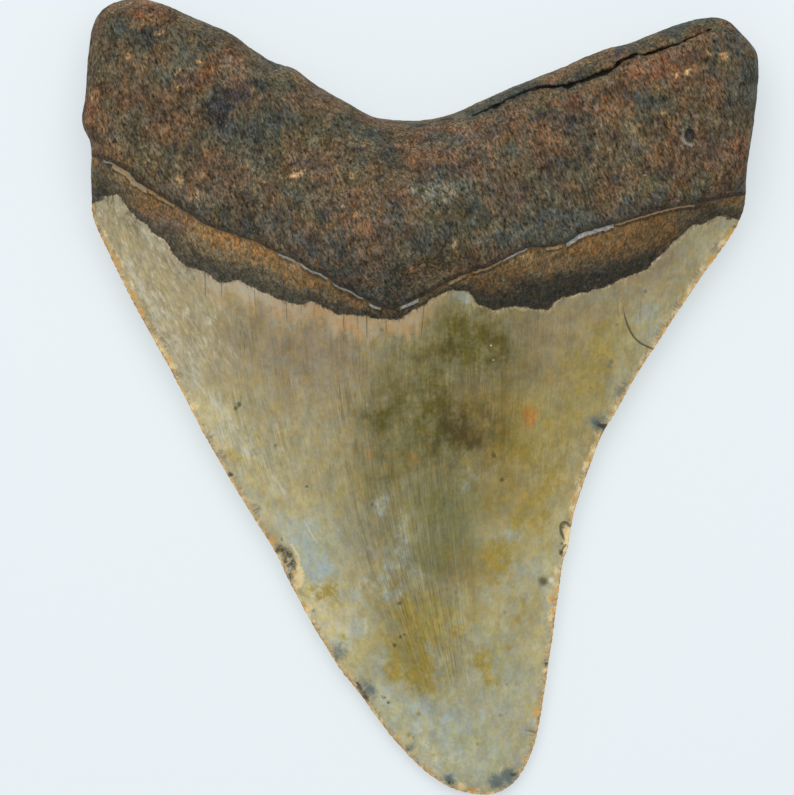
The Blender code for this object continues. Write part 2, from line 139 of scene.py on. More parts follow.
# Chips along the cutting edge: x, y, length along the edge, reach inwards, depth.
chips = [
    (-55.8, 29.3, 1.5, 0.6, 0.15), (-46.9, 13.4, 2.0, 1.0, 0.2), (-45.4, 8.2, 3.4, 1.4, 0.3),
    (-39.9, -2.4, 1.6, 1.0, 0.2), (-36.7, -8.4, 3.4, 1.2, 0.15), (-33.6, -13.6, 1.2, 0.9, 0.25),
    (-32.0, -16.2, 1.2, 0.8, 0.2), (-28.9, -20.7, 2.2, 1.2, 0.15), (-24.3, -28.6, 6.6, 2.9, 1.0),
    (-22.4, -33.2, 1.6, 1.6, 0.3), (-20.2, -37.2, 1.8, 1.2, 0.3), (-15.2, -45.6, 3.0, 1.4, 0.4),
    (-11.0, -51.2, 4.2, 2.0, 0.6), (-2.6, -62.0, 1.6, 1.4, 0.3), (4.5, -67.8, 2.4, 1.6, 0.6),
    (9.0, -69.2, 4.0, 0.8, 0.3), (13.4, -69.0, 3.0, 2.0, 0.4), (16.2, -66.9, 3.0, 2.2, 0.5),
    (20.2, -58.6, 1.4, 1.0, 0.2), (20.9, -54.6, 1.4, 1.0, 0.2), (23.6, -36.0, 3.4, 1.4, 0.25),
    (25.8, -24.6, 4.4, 1.4, 0.6), (30.2, -9.8, 2.6, 1.3, 0.25), (31.7, -6.2, 2.4, 2.0, 0.7),
    (35.6, 1.0, 2.4, 1.2, 0.2), (39.6, 8.0, 1.8, 1.0, 0.3),
]

# Cracks: their points, half width and how dark they are.
cracks = [
    ([(-37.5, 21.5), (-37.5, 18.5), (-37.4, 16.2)], 0.14, 1.0),
    ([(-34.7, 20.6), (-34.6, 18.5), (-34.5, 16.9)], 0.13, 0.9),
    ([(-28.9, 18.6), (-28.8, 16.5), (-28.8, 14.8)], 0.12, 0.8),
    ([(-23.4, 16.9), (-23.3, 14.0), (-23.4, 12.0)], 0.13, 0.8),
    ([(-20.8, 16.3), (-20.7, 13.8)], 0.12, 0.7),
    ([(-18.5, 16.4), (-18.6, 13.1)], 0.12, 0.7),
    ([(-13.4, 14.7), (-13.4, 12.5), (-13.3, 10.8)], 0.13, 0.9),
    ([(-11.0, 14.2), (-10.9, 10.8)], 0.12, 0.8),
    ([(-9.4, 14.0), (-9.4, 11.5), (-9.3, 9.1)], 0.14, 1.0),
    ([(-6.1, 13.6), (-6.0, 10.3)], 0.12, 0.8),
    ([(0.5, 16.2), (0.2, 12.5), (-0.3, 8.7)], 0.14, 0.8),
    ([(40.8, 8.2), (38.2, 9.4), (36.8, 10.8), (35.9, 12.6), (35.3, 14.6), (35.1, 16.8)], 0.26, 1.4),
    ([(34.2, 16.4), (34.3, 14.4), (34.8, 12.6)], 0.14, 0.7),
    ([(12.0, 51.8), (17.3, 53.7), (22.1, 55.4)], 0.3, 0.9),
    ([(26.9, 56.9), (31.2, 58.6), (35.1, 60.0)], 0.3, 0.8),
    ([(41.6, 61.6), (46.0, 62.9), (50.4, 64.0)], 0.3, 0.7),
    ([(-14.0, 0.7), (-13.8, -3.0), (-13.3, -6.5)], 0.12, 0.7),
    ([(-1.6, -14.5), (-1.2, -17.0), (-0.7, -19.7)], 0.12, 0.7),
    ([(-6.3, -9.2), (-5.2, -16.0), (-4.0, -22.5), (-3.1, -28.4)], 0.11, 0.5),
    ([(-4.5, -30.2), (-3.0, -36.0), (-1.0, -42.4)], 0.11, 0.5),
    ([(1.6, -31.9), (2.8, -37.0), (4.2, -42.4)], 0.11, 0.5),
    ([(25.9, -22.5), (25.3, -21.9), (24.5, -22.1), (24.4, -23.4), (24.8, -24.4), (25.2, -25.8)], 0.42, 1.4),
    ([(25.2, -25.8), (24.6, -26.7), (24.5, -27.4), (24.3, -28.1)], 0.3, 1.2),
    ([(-11.5, -7.5), (-9.0, -16.0), (-6.3, -24.9)], 0.11, 0.4),
    ([(-1.6, -28.4), (1.2, -38.5), (4.5, -49.4)], 0.11, 0.4),
]

# Strips along the ledge under the root: from x, to x, how far below the border, half width,
# tone from 0, chalk, to 1, tan. Each has a dark line under it.
ledgeStrips = [
    (-55.2, -53.2, 0.0, 0.25, 0.0), (-53.6, -47.4, 0.3, 0.5, 0.6), (-47.8, -42.4, 0.12, 0.26, 0.8),
    (-24.9, -21.6, 0.1, 0.25, 0.1), (-21.0, -16.0, 0.1, 0.24, 0.1), (-15.4, -9.8, 0.1, 0.22, 0.2),
    (-9.2, -6.8, 0.35, 0.2, 0.0), (-3.6, -0.4, 0.2, 0.25, 0.1), (4.6, 8.0, 0.2, 0.25, 0.8),
    (8.6, 14.0, 0.15, 0.2, 0.7), (14.0, 18.4, 0.1, 0.2, 0.3), (21.6, 24.4, 0.3, 0.25, 0.9),
    (25.0, 33.4, 0.2, 0.4, 0.0), (33.6, 47.6, 0.1, 0.16, 1.0),
]

grainFlow = {"axis": 11.2, "pinch": 0.5175, "level": -36.0, "reach": 25.0}  # it closes up at the tip

meshSteps = {
    "rimSpacing": 0.18,  # points along the cutting edge
    "rootSpacing": 0.36,  # points round the root
    "edgeRings": ((0.16, 0.2), (0.4, 0.26), (0.75, 0.34), (1.2, 0.42), (1.75, 0.5)),  # inset, spacing
    "rootRings": ((0.22, 0.36), (0.6, 0.4), (1.05, 0.4)),
    "rootTop": 0.37,
    "enamelTop": 0.58,
    "rootBase": 0.72,
    "enamelBase": 0.95,
    "borderSpacing": 0.3,
    "rootRows": (0.0, -0.16, 0.16, -0.4, 0.34, 0.55, -0.65, 0.8, -0.95, 1.05, -1.25),
    "enamelRows": (0.0, -0.16, 0.16, -0.45, 0.45),
    "crackSpacing": 0.35,
    "measureSpacing": 1.5,
    "latticeReach": (62.0, 72.0),
}


# what only the upper face has, apart from the marks along its edge
upperOnly = (
    "split", "pit", "pitRim", "crack", "crease", "chipDepth", "strip", "stripTone", "stripShade",
)


def smoothCurve(points, closed=False, steps=12):  # Catmull-Rom
    p = np.array(points, float)
    if closed:
        p = np.vstack([p[-1], p, p[0], p[1]])
    else:
        p = np.vstack([2 * p[0] - p[1], p, 2 * p[-1] - p[-2]])
    t = np.arange(steps)[:, None] / steps
    runs = []
    for a, b, c, d in zip(p[:-3], p[1:-2], p[2:-1], p[3:]):
        cubic = 3 * b - a - 3 * c + d
        runs.append(0.5 * (2 * b + (c - a) * t + (2 * a - 5 * b + 4 * c - d) * t**2 + cubic * t**3))
    curve = np.vstack(runs)
    return curve if closed else np.vstack([curve, p[-2]])


def along(curve, spacing):  # the curve read at even steps, its ends kept
    lengths = np.linalg.norm(np.diff(curve, axis=0), axis=1)
    arc = np.concatenate([[0.0], np.cumsum(lengths)])
    stations = np.linspace(0.0, arc[-1], max(2, round(arc[-1] / spacing)) + 1)
    return np.column_stack([np.interp(stations, arc, curve[:, k]) for k in (0, 1)])


def rightNormals(curve):
    forward = np.gradient(curve, axis=0)
    forward /= np.linalg.norm(forward, axis=1)[:, None]
    return np.column_stack([forward[:, 1], -forward[:, 0]])


def smoothStep(low, high, value):
    t = np.clip((value - low) / (high - low), 0.0, 1.0)
    return t * t * (3.0 - 2.0 * t)


def quarterRound(part):
    return np.sqrt(1.0 - (1.0 - np.clip(part, 0.0, 1.0)) ** 2)


def softDistance(points, curve):  # distance to a curve, smooth in the middle of the tooth
    total = np.zeros(len(points))
    for a, b in zip(curve[:-1], curve[1:]):
        chord = b - a
        chord = chord / np.linalg.norm(chord)
        start = (a - points) @ chord
        end = (b - points) @ chord
        off = np.maximum(((a - points) ** 2).sum(axis=1) - start**2, 1e-4)
        total += (end / np.sqrt(off + end**2) - start / np.sqrt(off + start**2)) / off
    return np.sqrt(2.0 / total)


def searchTree(points):
    tree = kdtree.KDTree(len(points))
    for i, (x, y) in enumerate(points):
        tree.insert((x, y, 0.0), i)
    tree.balance()
    return tree


class Nearest:  # distance, arc length, signed distance (left positive) and outward direction
    def __init__(self, points, curve):
        tree = searchTree(curve)
        corner = np.array([tree.find((x, y, 0.0))[1] for x, y in points])
        chords = np.diff(curve, axis=0)
        lengths = np.linalg.norm(chords, axis=1)
        chords /= lengths[:, None]
        arc = np.concatenate([[0.0], np.cumsum(lengths)])
        turns = np.vstack([chords[:1], chords[:-1] + chords[1:], chords[-1:]])
        self.gap = np.full(len(points), np.inf)
        self.run = np.zeros(len(points))
        away = np.zeros((len(points), 2))
        heading = turns[corner]
        for first in (np.maximum(corner - 1, 0), np.minimum(corner, len(chords) - 1)):
            start = curve[first]
            t = ((points - start) * chords[first]).sum(axis=1)
            kept = np.clip(t, 0.0, lengths[first])
            offset = points - start - kept[:, None] * chords[first]
            gap = np.linalg.norm(offset, axis=1)
            closer = gap < self.gap
            self.gap = np.where(closer, gap, self.gap)
            self.run = np.where(closer, arc[first] + kept, self.run)
            away = np.where(closer[:, None], offset, away)
            onChord = closer & (t == kept)
            heading = np.where(onChord[:, None], chords[first], heading)
        side = heading[:, 0] * away[:, 1] - heading[:, 1] * away[:, 0]
        self.left = np.where(side >= 0.0, self.gap, -self.gap)
        heading = heading / np.linalg.norm(heading, axis=1)[:, None]
        self.out = np.column_stack([heading[:, 1], -heading[:, 0]])


def wander(count, step, size, seed):  # one value of smooth noise for each station
    return np.array([noise.noise(Vector((k * step / size, seed, 0.5))) for k in range(count)])


def ragged(curve, layers, seed):  # a curve that strays from its own line; layers: size, height
    spacing = meshSteps["borderSpacing"]
    stations = along(curve, spacing)
    stray = sum(high * wander(len(stations), spacing, size, seed + size) for size, high in layers)
    return stations + rightNormals(stations) * stray[:, None]


class Sketch:
    def __init__(self):
        whole = smoothCurve(leftEdge + tipEdge + rightEdge + rootRight + notch + rootLeft, closed=True)
        turn = np.argmin(np.linalg.norm(whole - np.array(rootRight[0]), axis=1))
        spacing = meshSteps["measureSpacing"]
        self.cuttingEdge = whole[: turn + 1]
        self.rootRim = np.vstack([whole[turn:], whole[:1]])
        self.measuringEdge = along(self.cuttingEdge, spacing)
        self.measuringRim = np.vstack([self.measuringEdge[:-1], along(self.rootRim, spacing)])
        self.rootBorder = ragged(smoothCurve(rootBorder), ((2.6, 0.3), (0.9, 0.14)), 3.0)
        self.enamelBorder = ragged(smoothCurve(enamelBorder), ((2.2, 0.45), (0.8, 0.2)), 7.0)
        self.labialBorder = ragged(smoothCurve(labialBorder), ((2.4, 0.5), (0.9, 0.2)), 11.0)
        self.split = ragged(smoothCurve(splitLine), ((1.8, 0.35), (0.8, 0.15)), 17.0)
        self.crease = smoothCurve(creaseLine)

    def rimHeight(self, points):
        s = bodyShape
        blade = s["tipRimHeight"] + s["rimRise"] * (points[:, 1] - tipEdge[1][1])
        return blade + (s["rootRimHeight"] - blade) * smoothStep(*s["rootRimBand"], points[:, 1])

    def upperHeight(self, points, marks):
        s = bodyShape
        inset = softDistance(points, self.measuringRim)
        rim = self.rimHeight(points)
        blade = rim + s["bladeGain"] * softDistance(points, self.measuringEdge) ** s["bladePower"]
        x, y = points.T
        reachX = (x - s["bossCentre"][0]) / s["bossSpread"][0]
        reachY = (y - s["bossCentre"][1]) / s["bossSpread"][1]
        boss = s["bossHeight"] * np.exp(-(reachX**2) - reachY**2)
        plateau = s["rootHeight"] - s["lobeFall"] * x**2 + boss
        root = rim + (plateau - rim) * quarterRound(inset / s["rootRoundTop"])
        height = blade + (root - blade) * smoothStep(*s["neckBlend"], marks["enamelSide"])
        isRoot = smoothStep(-s["stepHalf"], s["stepHalf"], marks["rootSide"])
        isBand = smoothStep(-s["stepHalf"], s["stepHalf"], marks["enamelSide"]) - isRoot
        steps = isRoot * (s["rootStep"] + self.lumps(points)) - isBand * s["enamelStep"]
        away, half, deep = s["ledgeGroove"]
        steps -= deep * (1.0 - smoothStep(0.0, half * 2.0, np.abs(marks["rootSide"] - away)))
        height += steps * smoothStep(0.0, 2.5, inset)
        height -= s["splitDepth"] * marks["split"] * smoothStep(0.4, 2.0, inset)
        height -= s["pitDepth"] * marks["pit"] + marks["chipDepth"] + s["crackDepth"] * marks["crack"]
        height += s["stripProud"] * (marks["strip"] - marks["stripShade"])
        return np.maximum(height, rim + 0.1)

    def lowerHeight(self, points, marks):
        s = bodyShape
        rim = self.rimHeight(points)
        inset = softDistance(points, self.measuringRim)
        edgeGap = softDistance(points, self.measuringEdge)
        arch = s["labialArch"] * smoothStep(*s["labialArchSpan"], points[:, 1])
        bevel = np.clip(1.0 - edgeGap / s["labialBevel"], 0.0, 1.0) ** 2
        blade = arch + (rim - arch) * bevel
        root = rim * (1.0 - quarterRound(inset / s["rootRoundBase"]))
        height = blade + (root - blade) * smoothStep(*s["labialBlend"], marks["rootSide"])
        return np.clip(height, 0.0, rim - 0.1)

    def lumps(self, points):
        relief = np.zeros(len(points))
        for size, height in bodyShape["lumpSizes"]:
            spots = [Vector((x / size + 3.7, y / size + 1.3, size + 8.1)) for x, y in points]
            relief += height * np.array([noise.noise(spot) for spot in spots])
        return relief

    def marks(self, points, up):  # what the relief and the material read at each point
        edge = Nearest(points, self.cuttingEdge)
        rim = Nearest(points, self.rootRim)
        uneven = [0.5 * noise.noise(Vector((run / 2.6, 4.0, 0.0))) for run in edge.run]
        m = {"edgeGap": edge.gap, "edgeRun": edge.run + uneven, "rimGap": rim.gap, "edgeOut": edge.out}
        m.update(stainFields(points, up))
        m["faceUp"] = np.full(len(points), float(up))
        x, y = points.T
        flow = grainFlow
        squeeze = np.exp(-flow["pinch"] * np.exp((flow["level"] - y) / flow["reach"]))
        m["across"] = (x - flow["axis"]) / squeeze
        blank = np.zeros(len(points))
        if not up:
            m["rootSide"] = Nearest(points, self.labialBorder).left
            m["enamelSide"] = m["rootSide"]
            m.update((name, blank) for name in (*upperOnly, *rimMarks))
            return m
        m["rootSide"] = Nearest(points, self.rootBorder).left
        m["enamelSide"] = Nearest(points, self.enamelBorder).left
        split = Nearest(points, self.split)
        part = np.clip(split.run / bodyShape["splitLength"], 0, 1)
        width = bodyShape["splitHalf"] * (0.25 + 0.75 * np.sin(part * math.pi))
        width *= np.array([1.0 + 0.9 * noise.noise(Vector((run / 1.7, 9.0, 0.0))) for run in split.run])
        m["split"] = 1.0 - smoothStep(0.0, 1.0, split.gap / width)
        centre = np.array(bodyShape["pitCentre"])
        bowl = ((points - centre) / bodyShape["pitRadii"]) ** 2
        m["pit"] = np.clip(1.0 - bowl.sum(axis=1), 0.0, 1.0)
        # a painted highlight on the pit's lower left rim only
        rim = np.exp(-8.0 * (np.sqrt(bowl.sum(axis=1)) - 1.15) ** 2)
        m["pitRim"] = rim * smoothStep(0.2, 1.2, centre.sum() - points.sum(axis=1))
        width = np.interp(y, bodyShape["creaseLevels"], bodyShape["creaseWidths"])
        m["crease"] = np.clip(1.0 - Nearest(points, self.crease).gap / width, 0.0, 1.0)
        m["crack"] = self.crackMarks(points)
        m.update(self.stripMarks(points, m["rootSide"]))
        m.update(rimFields(edge))
        m["chipDepth"] = self.chipDepth(points, edge)
        return m

    def stripMarks(self, points, rootSide):
        x, y = points.T
        strip, shade, tone = np.zeros((3, len(points)))
        thin = np.array([noise.noise(Vector((place / 1.1, 2.0, 0.0))) for place in x]) * 0.35
        for start, end, below, half, hue in ledgeStrips:
            ends = smoothStep(start - 0.3, start + 0.5, x) * (1.0 - smoothStep(end - 0.5, end + 0.3, x))
            away = np.abs(rootSide + below) / (half * (1.0 + thin))
            found = ends * (1.0 - smoothStep(0.7, 1.5, away))
            tone = np.where(found > strip, hue, tone)
            strip = np.maximum(strip, found)
            beside = np.abs(rootSide + below + half + 0.22)
            shade = np.maximum(shade, ends * (1.0 - smoothStep(0.1, 0.3, beside)))
        return {"strip": strip, "stripTone": tone, "stripShade": shade * (strip < 0.3)}

    def crackMarks(self, points):
        found = np.zeros(len(points))
        for spots, half, dark in cracks:
            line = smoothCurve(spots, steps=6)
            length = np.linalg.norm(np.diff(line, axis=0), axis=1).sum()
            near = Nearest(points, line)
            taper = np.minimum(1.0, (length - near.run) / (0.35 * length))
            found = np.maximum(found, dark * taper * np.clip(1.0 - near.gap / half, 0.0, 1.0))
        return found

    def chipDepth(self, points, edge):
        depth = np.zeros(len(points))
        broken = [noise.noise(Vector((x / 0.9, y / 0.9, 3.0))) for x, y in points]
        for x, y, length, reach, deep in chips:
            centre = Nearest(np.array([[x, y]]), self.cuttingEdge).run[0]
            scar = 1.0 - ((edge.run - centre) / (length / 2)) ** 2 - (edge.gap / reach) ** 2
            depth = np.maximum(depth, deep * np.clip(scar, 0.0, 1.0))
        return depth * (1.0 + np.array(broken))


def insetRing(curve, inset, spacing):
    stations = along(curve, spacing)
    return stations - rightNormals(stations) * inset


def evenLattice(spacing):
    wide, high = meshSteps["latticeReach"]
    rows = np.arange(-high, high, spacing * math.sqrt(0.75))
    x, y = np.meshgrid(np.arange(-wide, wide, spacing), rows)
    x[1::2] += spacing / 2
    return np.column_stack([x.ravel(), y.ravel()])


def inside(points, outline):  # by counting crossings
    x, y = points.T
    found = np.zeros(len(points), bool)
    for a, b in zip(outline, np.roll(outline, -1, axis=0)):
        crosses = (a[1] > y) != (b[1] > y)
        if crosses.any():
            at = a[0] + (y[crosses] - a[1]) * (b[0] - a[0]) / (b[1] - a[1])
            found[crosses] ^= x[crosses] < at
    return found


class Layout:  # points over the outline and the edges that the triangles keep; the rim comes first
    def __init__(self, rim):
        self.rim = rim
        self.rimTree = searchTree(rim)
        self.points = rim
        self.edges = [(i, (i + 1) % len(rim)) for i in range(len(rim))]

    def add(self, points, apart, fromRim, chained=False):
        tree = searchTree(self.points)
        within = inside(points, self.rim)
        last = None
        kept = []
        for i, (x, y) in enumerate(points):
            spot = (x, y, 0.0)
            if not within[i] or tree.find(spot)[2] < apart or self.rimTree.find(spot)[2] < fromRim:
                last = None
                continue
            here = len(self.points) + len(kept)
            if chained and last is not None:
                self.edges.append((last, here))
            last = here
            kept.append((x, y))
        if kept:
            self.points = np.vstack([self.points, kept])

    def addRows(self, line, spacing, offsets, apart=0.12):
        stations = along(line, spacing)
        for offset in offsets:
            self.add(stations - rightNormals(stations) * offset, apart, 0.2, chained=True)

    def fill(self, sketch, border, rootSpacing, enamelSpacing):
        for inset, spacing in meshSteps["rootRings"]:
            self.add(insetRing(sketch.rootRim, inset, spacing), spacing * 0.55, inset * 0.85)
        for inset, spacing in meshSteps["edgeRings"]:
            self.add(insetRing(sketch.cuttingEdge, inset, spacing), spacing * 0.55, inset * 0.8)
        for spacing, isRoot in ((rootSpacing, True), (enamelSpacing, False)):
            lattice = evenLattice(spacing)
            above = lattice[:, 1] > np.interp(lattice[:, 0], border[:, 0], border[:, 1])
            self.add(lattice[above == isRoot], spacing * 0.6, spacing * 0.6)

    def triangles(self):
        corners = [Vector(p) for p in self.points]
        points, _, faces, *_ = delaunay_2d_cdt(corners, self.edges, [], 0, 1e-6, False)
        points = np.array([p[:] for p in points])
        faces = np.array(faces)
        return points, faces[inside(points[faces].mean(axis=1), self.rim)]


def finishedLayout(sketch, rim, up):
    layout = Layout(rim)
    spacing = meshSteps["borderSpacing"]
    if not up:
        layout.addRows(sketch.labialBorder, spacing, (0.0, -0.16, 0.16))
        layout.fill(sketch, sketch.labialBorder, meshSteps["rootBase"], meshSteps["enamelBase"])
        return layout.triangles()
    for spots, half, _ in cracks:
        layout.addRows(smoothCurve(spots, steps=6), meshSteps["crackSpacing"], (0.0, -half, half), 0.09)
    layout.addRows(sketch.split, spacing, (0.0, -0.2, 0.2, -0.45, 0.45, -0.75, 0.75), 0.15)
    layout.addRows(sketch.rootBorder, spacing, meshSteps["rootRows"])
    layout.addRows(sketch.enamelBorder, spacing, meshSteps["enamelRows"])
    layout.fill(sketch, sketch.enamelBorder, meshSteps["rootTop"], meshSteps["enamelTop"])
    return layout.triangles()


def bareTooth(sketch):  # both faces and the rim between them, with the marks kept as attributes
    edge = along(sketch.cuttingEdge, meshSteps["rimSpacing"])
    rim = np.vstack([edge, along(sketch.rootRim, meshSteps["rootSpacing"])[1:-1]])
    count = len(rim)
    upper, upperFaces = finishedLayout(sketch, rim, True)
    lower, lowerFaces = finishedLayout(sketch, rim, False)
    upperMarks = sketch.marks(upper, True)
    lowerMarks = sketch.marks(lower, False)
    upperZ = sketch.upperHeight(upper, upperMarks)
    lowerZ = sketch.lowerHeight(lower, lowerMarks)
    upperZ[:count] = sketch.rimHeight(rim) + bodyShape["rimHalf"]
    lowerZ[:count] = sketch.rimHeight(rim) - bodyShape["rimHalf"]
    base = len(upper)
    ring = np.arange(count)
    after = np.roll(ring, -1)
    walls = np.column_stack([after, ring, ring + base, after + base])
    faces = upperFaces.tolist() + (lowerFaces[:, ::-1] + base).tolist() + walls.tolist()
    spots = np.vstack([np.column_stack([upper, upperZ]), np.column_stack([lower, lowerZ])])
    middle = (rim.min(axis=0) + rim.max(axis=0)) / 2
    boxLow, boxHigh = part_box("tooth")
    seat = np.array([(boxLow.x + boxHigh.x) / 2, (boxLow.y + boxHigh.y) / 2, boxLow.z])
    data = bpy.data.meshes.new("toothSurface")
    data.from_pydata(((spots - (*middle, 0.0)) * 0.001 + seat).tolist(), [], faces)
    for name in upperMarks:
        values = np.concatenate([upperMarks[name], lowerMarks[name]])
        if name == "edgeOut":
            values = np.column_stack([values, np.zeros(len(values))])
            data.attributes.new(name, "FLOAT_VECTOR", "POINT").data.foreach_set("vector", values.ravel())
        else:
            data.attributes.new(name, "FLOAT", "POINT").data.foreach_set("value", values)
    data.update()
    return data, middle


class Wire:  # a node's output that takes part in Python arithmetic, adding its Math nodes
    def __init__(self, bench, socket):
        self.bench = bench
        self.socket = socket

    def combine(self, operation, *others):
        values = dict(enumerate((self, *others)))
        if self.socket.type == "VECTOR":
            if operation == "MULTIPLY" and not isinstance(others[0], (tuple, list)):
                if not isinstance(others[0], Wire) or others[0].socket.type != "VECTOR":
                    scaled = {"Vector": self, "Scale": others[0]}
                    return self.bench.node("ShaderNodeVectorMath", {"operation": "SCALE"}, scaled)
            return self.bench.node("ShaderNodeVectorMath", {"operation": operation}, values)
        return self.bench.node("ShaderNodeMath", {"operation": operation}, values)

    def __add__(self, other):
        return self.combine("ADD", other)

    def __radd__(self, other):
        return self.combine("ADD", other)

    def __mul__(self, other):
        return self.combine("MULTIPLY", other)

    def __rmul__(self, other):
        return self.combine("MULTIPLY", other)

    def __sub__(self, other):
        return self.combine("SUBTRACT", other)

    def __rsub__(self, other):
        return self.bench.node("ShaderNodeMath", {"operation": "SUBTRACT"}, {0: other, 1: self})

    def __truediv__(self, other):
        return self.combine("DIVIDE", other)

    def __rtruediv__(self, other):
        return self.bench.node("ShaderNodeMath", {"operation": "DIVIDE"}, {0: other, 1: self})

    def __pow__(self, other):
        return self.combine("POWER", other)

    def size(self):
        return self.combine("ABSOLUTE")

    def sine(self):
        return self.combine("SINE")

    def most(self, other):
        return self.combine("MAXIMUM", other)

    def rise(self, low, high, bottom=0.0, top=1.0):  # a smooth step from bottom to top
        if low > high:
            low, high, bottom, top = high, low, top, bottom
        reach = {"Value": self, "From Min": low, "From Max": high, "To Min": bottom, "To Max": top}
        return self.bench.node("ShaderNodeMapRange", {"interpolation_type": "SMOOTHSTEP"}, reach)

    def climb(self, low, high, bottom=0.0, top=1.0):  # a straight slope from bottom to top
        reach = {"Value": self, "From Min": low, "From Max": high, "To Min": bottom, "To Max": top}
        return self.bench.node("ShaderNodeMapRange", None, reach)

    def part(self, name):
        return Wire(self.bench, self.socket.node.outputs[name])


class Bench:  # where one tree's nodes are made
    def __init__(self, tree):
        self.tree = tree

    def node(self, kind, settings=None, sockets=None, out=0):
        made = self.tree.nodes.new(kind)
        for name, value in (settings or {}).items():
            if name == "stops":
                self.setStops(made.color_ramp, value)
            else:
                setattr(made, name, value)
        for name, value in (sockets or {}).items():
            self.feed(self.pick(made.inputs, name), value)
        return Wire(self, self.pick(made.outputs, out)) if made.outputs else None

    def pick(self, sockets, name):
        if isinstance(name, int):
            return sockets[name]
        return next(s for s in sockets if s.enabled and name in (s.name, s.identifier))

    def feed(self, socket, value):
        if isinstance(value, Wire):
            self.tree.links.new(value.socket, socket)
        elif value is not None:
            socket.default_value = value

    def setStops(self, ramp, stops):
        while len(ramp.elements) < len(stops):
            ramp.elements.new(1.0)
        for element, (place, colour) in zip(ramp.elements, stops):
            element.position = place
            element.color = colour

    def blend(self, factor, first, second):  # colours
        sockets = {"Factor_Float": factor, "A_Color": first, "B_Color": second}
        return self.node("ShaderNodeMix", {"data_type": "RGBA"}, sockets, "Result_Color")

    def overlay(self, amount, colour, tint):  # a tint of 0.5 leaves the colour as it is
        if isinstance(tint, float):
            tint = grey(tint)
        sockets = {"Factor_Float": amount, "A_Color": colour, "B_Color": tint}
        settings = {"data_type": "RGBA", "blend_type": "OVERLAY"}
        return self.node("ShaderNodeMix", settings, sockets, "Result_Color")

    def fibres(self, spot):  # the root's grain leans to the left and is drawn out along its length
        turn = {"Vector": spot, "Angle": fibreLean}
        return self.node("ShaderNodeVectorRotate", {"rotation_type": "Z_AXIS"}, turn) * (1.0, 0.38, 1.0)

    def speckle(self, spot, size, detail=2.0, roughness=0.5, warp=0.0, out=0):  # noise about 0.5
        sockets = {"Vector": spot, "Scale": 1.0 / size, "Detail": detail, "Roughness": roughness}
        return self.node("ShaderNodeTexNoise", None, sockets | {"Distortion": warp}, out)

    def threeNoises(self, spot, size, detail, roughness):
        colour = self.speckle(spot, size, detail, roughness, out="Color")
        first = self.node("ShaderNodeSeparateColor", None, {"Color": colour}, "Red")
        return first, first.part("Green"), first.part("Blue")


fibreLean = -0.4  # radians

reliefSizes = {  # millimetres, apart from the seed
    "Serration pitch": 1.3,
    "Serration depth": 0.11,
    "Serration reach": 1.3,
    "Serration groove": 0.06,
    "Root grain size": 0.75,
    "Root grain height": 0.34,
    "Root knot size": 2.8,
    "Root knot height": 1.0,
    "Root pore depth": 0.3,
    "Band grain height": 0.1,
    "Enamel ripple height": 0.05,
    "Enamel streak height": 0.03,
    "Seed": 4.0,
}


